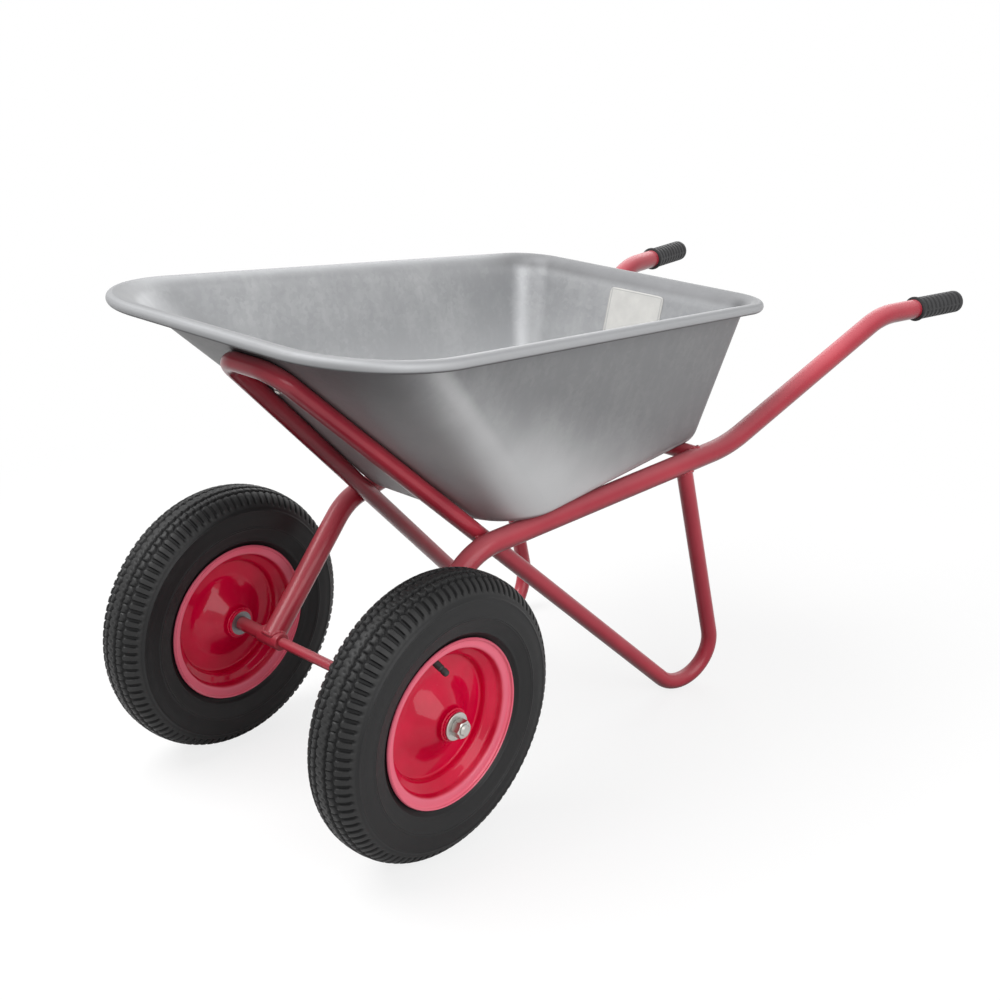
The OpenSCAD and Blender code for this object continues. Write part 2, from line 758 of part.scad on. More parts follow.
// A path of corners with each inner corner eased into a curve
ease_steps = 3;
function eased(path, reach) =
    let (last = len(path) - 1)
    [for (i = [0 : last]) each
        i == 0 || i == last ? [path[i]] :
        let (back = unit(path[i - 1] - path[i]))
        let (on = unit(path[i + 1] - path[i]))
        [for (k = [0 : ease_steps])
            let (s = k / ease_steps)
            path[i] + reach * ((1 - s) * (1 - s) * back + s * s * on)]];
// Side way at corner i of a path, as long as it takes to keep the sheet's thickness
function side_way(path, i) =
    let (last = len(path) - 1)
    let (a = unit(path[max(i, 1)] - path[max(i, 1) - 1]))
    let (b = unit(path[min(i, last - 1) + 1] - path[min(i, last - 1)]))
    let (m = unit(a + b))
    [-m[1], m[0]] / (m * a);
// Closed section of a sheet of thickness t on a path
function sheet_on(path, t) =
    let (last = len(path) - 1)
    concat([for (i = [0 : last]) path[i] + t / 2 * side_way(path, i)],
        [for (i = [last : -1 : 0]) path[i] - t / 2 * side_way(path, i)]);

// Middle of the pressed rim's sheet on the outer side of the wheel, as [radius, place along the axle]
collar_r = hub_od / 2 + seat + rim_t / 2;
collar_x = hub_l / 2 - collar_inset;
rim_path = [
    [collar_r, collar_x],
    [collar_r, collar_x - collar_l],
    [cone_d / 2, rim_t / 2],
    [well_r - rim_t / 2, rim_t / 2],
    [well_r - rim_t / 2, well_half],
    [bead_r - rim_t / 2, well_half + well_ramp],
    [bead_r - rim_t / 2, rim_w / 2 + rim_t / 2],
    [flange_r - flare, rim_w / 2 + rim_t / 2],
    [flange_r, rim_w / 2 + rim_t / 2 + flare]
];
// The valve goes through the middle of the ramp beside the drop centre
ramp_in = rim_path[4];
ramp_out = rim_path[5];
valve_point = (ramp_in + ramp_out) / 2;
ramp_way = unit(ramp_out - ramp_in);
valve_tilt = atan2(ramp_way[1], ramp_way[0]);

// Frame of the valve on the left wheel: Z points out of the rim, to the outer side and the hub
module at_valve() {
    at_wheel() rotate([0, 0, valve_angle]) translate([valve_point[0], 0, valve_point[1]])
        rotate([0, -valve_tilt, 0]) children();
}

module rim_half() {
    rotate_extrude() polygon(sheet_on(eased(rim_path, rim_ease), rim_t));
}

module rim_outer() {
    color(rim_red) difference() {
        at_wheel() rim_half();
        at_valve() translate([0, 0, -valve_l]) cylinder(h = 2 * valve_l, d = valve_d + 2 * seat);
    }
}

module rim_inner() {
    color(rim_red) at_wheel() mirror([0, 0, 1]) rim_half();
}

module valve_stem() {
    color(rubber) at_valve() rotate_extrude() polygon([
        [0, -valve_root], [valve_d / 2, -valve_root], [valve_d / 2, valve_l - valve_taper],
        [valve_tip_d / 2, valve_l], [0, valve_l]
    ]);
}

module valve_cap() {
    color(rubber) at_valve() translate([0, 0, valve_l + seat]) rotate_extrude() polygon([
        [0, 0], [valve_cap_d / 2, 0], [valve_cap_d / 2, valve_cap_l - valve_taper],
        [valve_tip_d / 2, valve_cap_l], [0, valve_cap_l]
    ]);
}

// Tyre section, half outline as [place across, radius], from the crown down to the bead
shoulder_x = tyre_w / 2 * shoulder_share;
function crown(x) = tyre_r - crown_drop * pow(x / shoulder_x, 2);
function tread_groove(x) = [
    [x - tread_groove_w / 2, crown(x - tread_groove_w / 2)],
    [x - tread_groove_w / 2 * groove_floor_share, crown(x) - tread_groove_depth],
    [x + tread_groove_w / 2 * groove_floor_share, crown(x) - tread_groove_depth],
    [x + tread_groove_w / 2, crown(x + tread_groove_w / 2)]
];
wall_in = rim_w / 2 - tyre_fit;
bead_low = bead_r + tyre_fit;
wall_low = flange_r + flare;
// Shares of the half width and of the height from the flange to the crown
sidewall_shares = [[0.86, 0.865], [0.955, 0.71], [0.965, 0.67], [0.945, 0.655], [0.985, 0.56], [1, 0.45],
    [0.985, 0.32], [0.93, 0.19], [0.85, 0.08]];
tyre_half = concat(
    [for (s = tread_groove_shares) each tread_groove(s * tyre_w / 2)],
    [[shoulder_x, crown(shoulder_x)]],
    [for (s = sidewall_shares) [s[0] * tyre_w / 2, wall_low + s[1] * (tyre_r - wall_low)]],
    [[wall_in + flare, wall_low], [wall_in, flange_r - flare - tyre_fit], [wall_in, bead_low + rim_ease],
     [wall_in - rim_ease, bead_low], [wall_in - bead_w, bead_low]]);
tyre_last = len(tyre_half) - 1;
tyre_outline = concat(
    [for (p = tyre_half) [p[1], p[0]]],
    [for (i = [tyre_last : -1 : 0]) [tyre_half[i][1], -tyre_half[i][0]]]);
cavity_r = tyre_w / 2 - side_t;
cavity_centre = tyre_r - tread_t - cavity_r;

// A slot between two lugs of the shoulder, on the left side of the tread
lug_top = [crown(shoulder_x), shoulder_x];
lug_low = [wall_low + sidewall_shares[1][1] * (tyre_r - wall_low), sidewall_shares[1][0] * tyre_w / 2];
lug_run = norm(lug_low - lug_top);
lug_tilt = atan2(lug_low[1] - lug_top[1], lug_top[0] - lug_low[0]);
module lug_slot() {
    translate([lug_top[0], 0, lug_top[1]]) rotate([0, lug_tilt - 90, 0])
        translate([-lug_slot_depth, -lug_slot_w / 2, -lug_lead])
        cube([2 * lug_slot_depth + lug_lead, lug_slot_w, lug_run + 2 * lug_lead]);
}

module tyre() {
    color(rubber) at_wheel() difference() {
        rotate_extrude() difference() {
            polygon(tyre_outline);
            translate([cavity_centre, 0]) circle(r = cavity_r);
            translate([0, bead_w - wall_in]) square([cavity_centre, 2 * (wall_in - bead_w)]);
        }
        for (i = [0 : lug_n - 1]) rotate([0, 0, i * 360 / lug_n]) {
            lug_slot();
            rotate([0, 0, 180 / lug_n]) mirror([0, 0, 1]) lug_slot();
        }
    }
}

module inner_tube() {
    color(rubber) at_wheel() rotate_extrude() translate([cavity_centre, 0]) difference() {
        circle(r = cavity_r - tube_gap);
        circle(r = cavity_r - tube_gap - tube_t);
    }
}

// Grip: a closed sleeve over the end of the handle tube, with a flange and grooves round it
module grip_sleeve() {
    outer = grip_od / 2;
    flange = outer + grip_flange_h;
    pitch = (grip_l - 2 * grip_plain_l) / grip_groove_n;
    half = pitch * grip_groove_share / 2;
    rotate_extrude() polygon(concat(
        [[handle_r + axle_fit, 0], [flange - grip_round, 0], [flange, grip_round],
            [flange, grip_flange_t - grip_round], [flange - grip_round, grip_flange_t],
            [outer, grip_flange_t]],
        [for (i = [0 : grip_groove_n - 1])
            let (z = grip_plain_l + pitch / 2 + i * pitch)
            each [[outer, z - half], [outer - grip_groove_depth, z - half / 2],
                [outer - grip_groove_depth, z + half / 2], [outer, z + half]]],
        [for (a = [0 : arc_step : 90])
            [outer - grip_end_r + grip_end_r * cos(a), grip_l - grip_end_r + grip_end_r * sin(a)]],
        [[0, grip_l], [0, grip_l - grip_end_t], [handle_r + axle_fit, grip_l - grip_end_t]]));
}

module grip() {
    last = len(handle_path) - 1;
    way = unit(handle_path[last] - handle_path[last - 1]);
    color(grip_black) stand_at(handle_path[last] - (grip_l - grip_end_t) * way, way) grip_sleeve();
}

tray();
handle_tube();  // left_handle_tube
mirror([1, 0, 0]) handle_tube();  // right_handle_tube
leg_hoop();
hoop_plate();
cross_tube();
axle();
axle_bosses();
axle_spacers();
hub_spacers();
bearing_inner_rings();
axle_washers();
axle_nuts();
grip();  // left_grip
mirror([1, 0, 0]) grip();  // right_grip
tray_bolts();
tray_washers();
tray_nuts();
tyre();  // left_tyre
inner_tube();  // left_inner_tube
rim_outer();  // left_rim_outer
rim_inner();  // left_rim_inner
hub_sleeve();  // left_hub_sleeve
bearing_outer_rings();  // left_bearing_outer_rings
bearing_balls();  // left_bearing_balls
valve_stem();  // left_valve_stem
valve_cap();  // left_valve_cap
mirror([1, 0, 0]) tyre();  // right_tyre
mirror([1, 0, 0]) inner_tube();  // right_inner_tube
mirror([1, 0, 0]) rim_outer();  // right_rim_outer
mirror([1, 0, 0]) rim_inner();  // right_rim_inner
mirror([1, 0, 0]) hub_sleeve();  // right_hub_sleeve
mirror([1, 0, 0]) bearing_outer_rings();  // right_bearing_outer_rings
mirror([1, 0, 0]) bearing_balls();  // right_bearing_balls
mirror([1, 0, 0]) valve_stem();  // right_valve_stem
mirror([1, 0, 0]) valve_cap();  // right_valve_cap
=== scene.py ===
import json
from math import radians
import bmesh
import bpy
import numpy as np
from mathutils import Matrix


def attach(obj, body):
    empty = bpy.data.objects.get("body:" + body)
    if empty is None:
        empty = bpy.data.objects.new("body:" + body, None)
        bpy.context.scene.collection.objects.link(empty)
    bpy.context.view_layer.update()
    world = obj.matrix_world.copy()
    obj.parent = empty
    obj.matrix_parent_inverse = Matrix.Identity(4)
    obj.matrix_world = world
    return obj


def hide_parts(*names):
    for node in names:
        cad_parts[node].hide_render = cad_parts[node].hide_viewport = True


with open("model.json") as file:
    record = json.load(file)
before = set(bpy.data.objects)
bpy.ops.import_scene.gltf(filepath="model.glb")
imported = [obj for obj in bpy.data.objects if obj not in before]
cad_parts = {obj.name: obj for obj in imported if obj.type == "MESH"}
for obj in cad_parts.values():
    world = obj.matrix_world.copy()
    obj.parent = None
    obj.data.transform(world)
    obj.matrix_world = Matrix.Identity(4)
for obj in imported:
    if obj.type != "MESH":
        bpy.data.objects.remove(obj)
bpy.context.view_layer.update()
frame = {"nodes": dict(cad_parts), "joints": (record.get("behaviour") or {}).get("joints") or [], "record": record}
wheelCentre = {j["child"]: np.array(j["pos_m"]) for j in frame["joints"]}
wheelX, axleY, axleZ = wheelCentre["left_wheel"].tolist()
sides = {"left": 1.0, "right": -1.0}
axleWay = np.array([1.0, 0, 0])
seatGap = 0.0001  # between pieces that are seated or welded on each other
tau = 2 * np.pi
print("frame loaded:", len(frame["nodes"]), "nodes")


# Vectors and curves

def unit(v):
    v = np.asarray(v, float)
    return v / np.linalg.norm(v, axis=-1, keepdims=True)


# 0 below low, 1 above high, with a soft step between
def softStep(low, high, x):
    t = np.clip((x - low) / (high - low), 0, 1)
    return t * t * (3 - 2 * t)


# Even angles once round
def wholeTurn(count):
    return np.linspace(0, tau, count, endpoint=False)


# Cosines and sines of even angles over a quarter turn
def quarterTurn(count):
    a = np.linspace(0, np.pi / 2, count)
    return np.cos(a), np.sin(a)


# Distance along a curve at each of its points
def runAlong(curve):
    return np.concatenate([[0], np.cumsum(np.linalg.norm(np.diff(curve, axis=0), axis=1))])


# Turns vector v about an axis by each of the angles: its part along the axis stays, the rest goes round
def turned(v, axis, angles):
    c, s = np.cos(angles)[:, None], np.sin(angles)[:, None]
    return v * c + np.cross(axis, v) * s + axis * (axis @ v) * (1 - c)


# A path of corners whose inner corners are eased: each becomes a parabola that starts and ends at reach from it
def eased(path, reach, steps, most=0.45):
    path = np.asarray(path, float)
    s = np.linspace(0, 1, steps)[:, None]
    bits = [path[:1]]
    for before, corner, after in zip(path[:-2], path[1:-1], path[2:]):
        back, on = before - corner, after - corner
        near = min(reach, most * np.linalg.norm(back), most * np.linalg.norm(on))
        bits.append(corner + near * ((1 - s) ** 2 * unit(back) + s ** 2 * unit(on)))
    return np.vstack(bits + [path[-1:]])


# A sheet of thickness t on a flat path: the path moved half of it to each side, as one closed outline
def sheetOutline(path, t):
    way = unit(np.gradient(path, axis=0))
    out = np.stack([-way[:, 1], way[:, 0]], 1) * t / 2
    return np.vstack([path + out, (path - out)[::-1]])


# Even points along a curve through a few given ones: cubic pieces, each with the slope of the chord round its end
def smoothThrough(points, count, fineness=40):
    p = np.asarray(points, float)
    slope = np.gradient(p, axis=0)
    fine = np.linspace(0, len(p) - 1, fineness * len(p))
    i = np.minimum(fine.astype(int), len(p) - 2)
    t = (fine - i)[:, None]
    curve = ((1 + 2 * t) * (1 - t) ** 2 * p[i] + t * (1 - t) ** 2 * slope[i]
             + t * t * (3 - 2 * t) * p[i + 1] - t * t * (1 - t) * slope[i + 1])
    run = runAlong(curve)
    even = np.linspace(0, run[-1], count)
    return np.stack([np.interp(even, run, curve[:, k]) for k in range(p.shape[1])], 1)


# Meshes from grids

def newObject(name, data):
    made = bpy.data.objects.new(name, data)
    bpy.context.scene.collection.objects.link(made)
    return made


# Points on a grid of rows and columns become quads between neighbours; a wrapped way joins its last line to its first.
# Points that coincide are merged, which closes poles, and the faces are turned to look away from the middle.
def gridPiece(name, points, slot, body="frame", wrapRows=True, wrapCols=False, sharp=38, marks=None, paint=None,
              replaces=()):
    rows, cols = points.shape[:2]
    index = np.arange(rows * cols).reshape(rows, cols)
    index = np.vstack([index, index[:1]]) if wrapRows else index
    index = np.hstack([index, index[:, :1]]) if wrapCols else index
    quads = np.stack([index[:-1, :-1], index[1:, :-1], index[1:, 1:], index[:-1, 1:]], -1).reshape(-1, 4)
    flat = points.reshape(-1, 3)
    a, b, c, d = (flat[quads[:, k]] - flat.mean(0) for k in range(4))
    if np.sum(a * (np.cross(b, c) + np.cross(c, d))) < 0:
        quads = quads[:, ::-1]
    mesh = bpy.data.meshes.new(name)
    mesh.vertices.add(len(flat))
    mesh.vertices.foreach_set("co", flat.astype(np.float32).ravel())
    mesh.loops.add(quads.size)
    mesh.loops.foreach_set("vertex_index", quads.astype(np.int32).ravel())
    mesh.polygons.add(len(quads))
    mesh.polygons.foreach_set("loop_start", np.arange(0, quads.size, 4, dtype=np.int32))
    mesh.update(calc_edges=True)
    for mark, values in (marks or {}).items():
        layer = mesh.attributes.new(mark, "FLOAT", "POINT")
        layer.data.foreach_set("value", np.asarray(values, np.float32).ravel())
    work = bmesh.new()
    work.from_mesh(mesh)
    bmesh.ops.remove_doubles(work, verts=work.verts, dist=2e-6)
    work.to_mesh(mesh)
    work.free()
    mesh.polygons.foreach_set("use_smooth", np.ones(len(mesh.polygons), bool))
    mesh.set_sharp_from_angle(angle=radians(sharp))
    mesh.materials.append(paint or slotPaints[slot])
    piece = newObject(name, mesh)
    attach(piece, body)
    if replaces:
        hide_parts(*replaces)
    return piece


# Turned shape: an outline of (along, radius) pairs spun round an axis through base. growth is a factor on the
# radius, one value or one for each turn and outline point. Angle 0 lies on the side of up.
def spun(outline, base, way, turns, growth=1.0, up=(0, 0, 1)):
    along, radius = np.asarray(outline, float).T
    way = unit(way)
    side = unit(np.asarray(up) - way * (way @ np.asarray(up)))
    angle = wholeTurn(turns)[:, None]
    ring = np.cos(angle) * side + np.sin(angle) * np.cross(way, side)
    radius = np.broadcast_to(radius * growth, (turns, len(along)))
    return base + along[None, :, None] * way + radius[..., None] * ring[:, None, :]


# Middle line of a bent tube and two ways square to it: straights between the corners, and at each inner corner an
# arc of its bend radius that carries the two ways round with it. No tube here runs along the slanted way.
def bentLine(corners, bends, arcSteps=18, slanted=(0.31, 0.2, 0.93)):
    way = unit(corners[1] - corners[0])
    side = unit(np.cross(way, slanted))
    rows = [np.hstack([corners[0], side, way])]
    for corner, after, bend in zip(corners[1:-1], corners[2:], bends):
        on = unit(after - corner)
        axis = unit(np.cross(way, on))
        turn = np.arccos(way @ on)
        start = corner - way * bend * np.tan(turn / 2)
        inward = np.cross(axis, way)
        angles = np.linspace(0, turn, arcSteps)
        points = start + bend * inward - bend * turned(inward, axis, angles)
        rows.append(np.hstack([points, turned(side, axis, angles), turned(way, axis, angles)]))
        side, way = rows[-1][-1, 3:6], rows[-1][-1, 6:]
    return np.split(np.vstack(rows + [np.hstack([corners[-1], side, way])]), 3, axis=1)


# Tube: a circle carried along a line, square to it; the ends are closed with a sloped edge and a flat disc
def tube(line, radius, turns=40, edge=0.0012):
    points, side, way = line
    angle = wholeTurn(turns)[:, None, None]
    ring = np.cos(angle) * side + np.sin(angle) * np.cross(way, side)
    body = points + radius * ring
    body[:, 0] += edge * way[0]
    body[:, -1] -= edge * way[-1]
    head = [points[0] + r * ring[:, 0] for r in (0, radius - edge)]
    tail = [points[-1] + r * ring[:, -1] for r in (radius - edge, 0)]
    return np.concatenate([np.stack(head, 1), body, np.stack(tail, 1)], 1)


# Closed bead along a closed curve: a small circle round each point of it, swelling and shrinking in ripples
def bead(curve, radius, ripples, turns=10, swell=0.16, nudge=(0.01, 0.02, 0.03)):
    way = unit(np.roll(curve, -1, 0) - np.roll(curve, 1, 0))
    side = unit(np.cross(way, unit(curve - curve.mean(0)) + nudge))
    angle = wholeTurn(turns)[:, None, None]
    size = radius * (1 + swell * np.cos(wholeTurn(len(curve)) * ripples))[:, None]
    return curve + size * (np.cos(angle) * side + np.sin(angle) * np.cross(way, side))


# Where the surface of a rod meets a round bar: for each line of the rod's surface, the first crossing with the bar.
# Lines that pass beside the bar take the point where they come closest.
def meetingCurve(rodAt, rodWay, rodRadius, barAt, barWay, barRadius, count=120):
    rodWay, barWay = unit(rodWay), unit(barWay)
    side = unit(np.cross(rodWay, barWay))
    angle = wholeTurn(count)[:, None]
    line = rodAt + rodRadius * (np.cos(angle) * side + np.sin(angle) * np.cross(rodWay, side))
    apart = (line - barAt) - ((line - barAt) @ barWay)[:, None] * barWay
    go = rodWay - (rodWay @ barWay) * barWay
    a, b, c = go @ go, apart @ go, np.sum(apart ** 2, 1) - barRadius ** 2
    t = (-b - np.sqrt(np.maximum(b * b - a * c, 0))) / a
    return line + t[:, None] * rodWay


# Shader maths

# A socket that takes part in sums: each operator adds one Math node
class Wire:
    def __init__(self, paint, socket):
        self.paint, self.socket = paint, socket

    def maths(self, operation, first, second):
        return self.paint.node("ShaderNodeMath", {"operation": operation}, {0: first, 1: second})

    def __add__(self, other):
        return self.maths("ADD", self, other)

    def __radd__(self, other):
        return self.maths("ADD", other, self)

    def __sub__(self, other):
        return self.maths("SUBTRACT", self, other)

    def __rsub__(self, other):
        return self.maths("SUBTRACT", other, self)

    def __mul__(self, other):
        return self.maths("MULTIPLY", self, other)

    def __rmul__(self, other):
        return self.maths("MULTIPLY", other, self)


# A colour as it shows on a screen, in the linear values that a shader takes
def shade(r, g, b):
    level = np.array([r, g, b]) / 255
    line = np.where(level < 0.04045, level / 12.92, ((level + 0.055) / 1.055) ** 2.4)
    return (*line.tolist(), 1.0)


# One node tree: node() adds any node, with its settings first and then the values or links of its sockets
class Paint:
    def __init__(self, owner, look=None):
        owner.use_nodes = True
        self.owner, self.tree, self.look = owner, owner.node_tree, look
        self.tree.nodes.clear()

    def node(self, kind, settings=None, sockets=None, out=0):
        made = self.tree.nodes.new(kind)
        for key, value in (settings or {}).items():
            setattr(made, key, value)
        for key, value in (sockets or {}).items():
            if isinstance(value, Wire):
                self.tree.links.new(value.socket, made.inputs[key])
            else:
                made.inputs[key].default_value = value
        return Wire(self, made.outputs[out]) if made.outputs else None

    def noise(self, scale, detail=3.0, rough=0.55, where=None):
        return self.node("ShaderNodeTexNoise", {}, {"Vector": where or self.where, "Scale": scale, "Detail": detail,
                                                    "Roughness": rough})

    def stretched(self, scale):
        return self.node("ShaderNodeMapping", {}, {"Vector": self.where, "Scale": scale})

    # A mesh's own mark, one value for each of its points
    def mark(self, name):
        return self.node("ShaderNodeAttribute", {"attribute_name": name}, out=2)

    # One part of a vector: 0, 1 or 2 for x, y or z
    def part(self, vector, axis):
        return self.node("ShaderNodeSeparateXYZ", {}, {"Vector": vector}, out=axis)

    # How far a face looks along one axis, from -1 to 1
    def facing(self, axis):
        return self.part(self.node("ShaderNodeNewGeometry", out=1), axis)

    def length(self, vector):
        return self.node("ShaderNodeVectorMath", {"operation": "LENGTH"}, {0: vector}, out=1)

    # Distance from the middle line of the axle
    def fromAxle(self):
        centred = self.node("ShaderNodeMapping", {}, {"Vector": self.where, "Location": (0.0, -axleY, -axleZ)})
        flat = self.node("ShaderNodeVectorMath", {"operation": "MULTIPLY"}, {0: centred, 1: (0.0, 1.0, 1.0)})
        return self.length(flat)

    def sine(self, value):
        return self.node("ShaderNodeMath", {"operation": "SINE"}, {0: value})

    # 0 to 1, softly, as the value goes through the two places, and the same from 1 to 0
    def band(self, value, low, high):
        return self.node("ShaderNodeMapRange", {"interpolation_type": "SMOOTHSTEP"},
                         {"Value": value, "From Min": low, "From Max": high})

    def fall(self, value, low, high):
        return 1.0 - self.band(value, low, high)

    # Each of the two colours is a wire, or the name of one of the look's colours
    def blend(self, share, first, second):
        first, second = (shade(*self.look[c]) if isinstance(c, str) else c for c in (first, second))
        return self.node("ShaderNodeMix", {"data_type": "RGBA"}, {0: share, 6: first, 7: second}, out=2)

    def mixed(self, share, first, second):
        return self.node("ShaderNodeMixShader", {}, {0: share, 1: first, 2: second})

    # 1 on rays from the camera and on those that gloss or glass sends on, so that these see the white stage too
    def stageRays(self):
        camera, glossy, through = (self.node("ShaderNodeLightPath", out=k) for k in (0, 3, 6))
        return self.node("ShaderNodeMath", {"operation": "MINIMUM"}, {0: camera + glossy + through, 1: 1.0})

    # The material: what varies goes in as wires, bump is (height, strength, distance), shine the other sockets
    def finish(self, colour, rough, bump, shine=None):
        normal = self.node("ShaderNodeBump", {}, dict(zip(("Height", "Strength", "Distance"), bump)))
        shader = self.node("ShaderNodeBsdfPrincipled", {}, {"Base Color": colour, "Roughness": rough, "Normal": normal,
                                                            **(shine or {})})
        self.node("ShaderNodeOutputMaterial", {}, {"Surface": shader})
        return self.owner


# A new material's tree, with the place of a point in the barrow's own frame
def newPaint(name, look=None):
    paint = Paint(bpy.data.materials.new(name), look)
    paint.where = paint.node("ShaderNodeTexCoord", out=3)
    return paint


# Finishes

# Among these, the near black grey and the weights for the outside, what faces down, the back wall, the lip, its ends,
# the roll's top and its underside set painted shade; the two palest greys and the weight low inside set painted light
galvanisedLook = dict(
    pale=(184, 185, 186), dark=(160, 161, 163), worn=(172, 173, 175), scuffed=(120, 121, 123), soot=(30, 30, 32),
    washed=(206, 207, 208), bright=(232, 233, 234), flakeScale=150.0, wanderScale=160.0, wander=(0.006, 0.006, 0.006),
    cloudScale=9.0, streakScale=16.0, drawn=(3.0, 3.0, 0.8), scuffScale=150.0, dull=0.44, grime=0.58, backWall=0.23,
    lip=0.10, endLip=0.32, rollTop=0.30, underRoll=0.85, lowInside=0.6, rubbing=0.8, scuffing=0.10, metal=0.56,
    lessMetal=0.16, rough=0.41, lean=0.40, rimAt=0.722, wallHeight=0.24, middle=0.255)

# Hot dipped zinc: small crystal flakes of nearly one grey, cloudy patches, streaks down the drawn walls and fine
# scuffs. The rim is rubbed. Painted light and shade: a painted sheen on the outside low down and round the front
# corners, painted shade on the rest of the outside, on what faces down, on the back wall's inside, on the lip and
# on the roll's top and underside, and painted light on the inside low down.
def galvanisedFinish(look=galvanisedLook):
    p = newPaint("galvanisedSheet", look)
    wander = p.node("ShaderNodeTexNoise", {}, {"Vector": p.where, "Scale": look["wanderScale"]}, out=1)
    bent = p.node("ShaderNodeVectorMath", {"operation": "MULTIPLY_ADD"}, {0: wander, 1: look["wander"], 2: p.where})
    flakes = p.node("ShaderNodeTexVoronoi", {}, {"Vector": bent, "Scale": look["flakeScale"]}, out=1)
    flake = p.node("ShaderNodeSeparateColor", {}, {"Color": flakes})
    clouds = p.noise(look["cloudScale"], 2.5, 0.5)
    streaks = p.noise(look["streakScale"], where=p.stretched(look["drawn"]))
    scuffs = p.band(p.noise(look["scuffScale"], 5.0, 0.72), 0.60, 0.74)
    rim = p.mark("rubbed")
    up, back = p.facing(2), p.facing(1)
    height, behind = p.part(p.where, 2), p.part(p.where, 1) - axleY
    along = behind - look["middle"]
    down = (look["rimAt"] - behind * look["lean"] - height) * (1.0 / look["wallHeight"])
    roll = p.band(rim, 0.92, 0.99)
    sheet = 1.0 - roll
    # Masks for painted shade: the outside, what faces down, the back wall's inside, the lip, most at its ends, and the
    # roll's top and underside
    outside = p.fall(up, -0.12, 0.10) * sheet
    inside = 1.0 - outside
    facesDown = p.fall(up, -0.76, -0.60) * sheet
    # Band on the faces that slope down round the front corners, where a painted reflection goes
    cornerSheen = p.band(up, -0.64, -0.52) - p.band(up, -0.50, -0.34)
    low = p.band(down + clouds * 0.2, 0.30, 0.90)
    backWall = p.fall(back, -0.85, -0.45) * inside
    lip = p.band(rim, 0.05, 0.35) * p.band(up, 0.0, 0.3) * sheet
    endLip = lip * p.band(along * along, 0.08, 0.16)
    rollTop = roll * p.band(up, 0.35, 0.95)
    underRoll = roll * p.fall(up, -0.85, -0.30)
    lowInside = p.fall(height, 0.42, 0.60) * inside
    # Painted sheen: pale on the outside low down and on that band
    washed = low * 0.92 + cornerSheen * (0.55 - low * 0.5)
    tone = flake * 0.12 + clouds * 0.52 + streaks * 0.30
    grey = p.blend(p.band(tone, 0.34, 0.78), "dark", "pale")
    paler = p.blend(washed * outside, grey, "washed")
    # Painted light: the inside low down is made paler
    lit = p.blend(lowInside * look["lowInside"], paler, "bright")
    rubbed = p.blend(rim * look["rubbing"], lit, "worn")
    # Painted shade: the share of the near black grey, on the outside less where the painted sheen lies
    grime = (outside * (look["dull"] - washed * look["dull"]) + facesDown * look["grime"]
             + backWall * look["backWall"] + lip * look["lip"] + endLip * look["endLip"]
             + rollTop * look["rollTop"] + underRoll * look["underRoll"])
    withPaintedShade = p.blend(grime * (0.85 + clouds * 0.3), rubbed, "soot")
    colour = p.blend(scuffs * look["scuffing"], withPaintedShade, "scuffed")
    rough = look["rough"] + flake * 0.05 + clouds * 0.14 + rim * 0.14 + scuffs * 0.06
    relief = flake * 0.06 + streaks * 0.4 + clouds * 0.8
    return p.finish(colour, rough, (relief, 0.12, 0.0012), {"Metallic": look["metal"] - outside * look["lessMetal"]})


# The pale top colour stands for dust and a painted highlight; the shaded colour and its weight paint shade below
framePaintLook = dict(
    red=(186, 58, 72), deep=(166, 44, 60), faded=(200, 130, 135), shaded=(82, 10, 24), speck=(112, 20, 32),
    slowScale=7.0, speckScale=210.0, dusting=0.34, shading=0.85, specking=0.22, rough=0.28,
    shine={"Specular IOR Level": 0.28, "Coat Weight": 0.22, "Coat Roughness": 0.18})

# Satin powder coat: slow changes of tone, paler on what faces up with dust and a painted highlight, painted shade
# below, a few rubbed specks
def framePaintFinish(look=framePaintLook):
    p = newPaint("redFramePaint", look)
    slow = p.noise(look["slowScale"])
    specks = p.band(p.noise(look["speckScale"], 4.0, 0.65), 0.66, 0.76)
    up = p.facing(2)
    # Dust on what faces up, which also serves as a painted highlight there
    dust = p.band(up, 0.30, 1.0) * (0.75 + slow * 0.5)
    tone = p.blend(p.band(slow, 0.3, 0.75), "deep", "red")
    dusty = p.blend(dust * look["dusting"], tone, "faded")
    # Painted shade on what faces down
    shaded = p.blend(p.fall(up, -0.90, 0.10) * look["shading"], dusty, "shaded")
    colour = p.blend(specks * look["specking"], shaded, "speck")
    rough = look["rough"] + slow * 0.08 + dust * 0.12
    return p.finish(colour, rough, (slow, 0.06, 0.0006), look["shine"])


# The pale pink colour and its share paint a reflection on the flange
rimPaintLook = dict(
    red=(212, 0, 58), deep=(196, 0, 50), thin=(242, 120, 142), speck=(226, 140, 150), slowScale=16.0, peelScale=300.0,
    speckScale=260.0, ringScale=1500.0, flangeAt=(0.1000, 0.1040), thinning=0.82, specking=0.4, rough=0.20,
    shine={"Specular IOR Level": 0.10, "Coat Weight": 0.40, "Coat Roughness": 0.04})

# Gloss enamel over pressed steel: deeper where it pools, a painted pale pink reflection on the flange, faint pressing
# rings, specks
def rimPaintFinish(look=rimPaintLook):
    p = newPaint("redRimEnamel", look)
    slow, peel = p.noise(look["slowScale"]), p.noise(look["peelScale"], 2.0)
    specks = p.band(p.noise(look["speckScale"], 4.0, 0.7), 0.68, 0.78)
    reach = p.fromAxle()
    tone = p.blend(p.band(slow, 0.3, 0.7), "deep", "red")
    # Painted reflection: the flange is made pale pink
    edged = p.blend(p.band(reach + slow * 0.003, *look["flangeAt"]) * look["thinning"], tone, "thin")
    colour = p.blend(specks * look["specking"], edged, "speck")
    rough = look["rough"] + slow * 0.10 + specks * 0.2
    relief = peel * 0.5 + slow * 0.6 + p.sine(reach * look["ringScale"]) * 0.05
    return p.finish(colour, rough, (relief, 0.08, 0.0006), look["shine"])


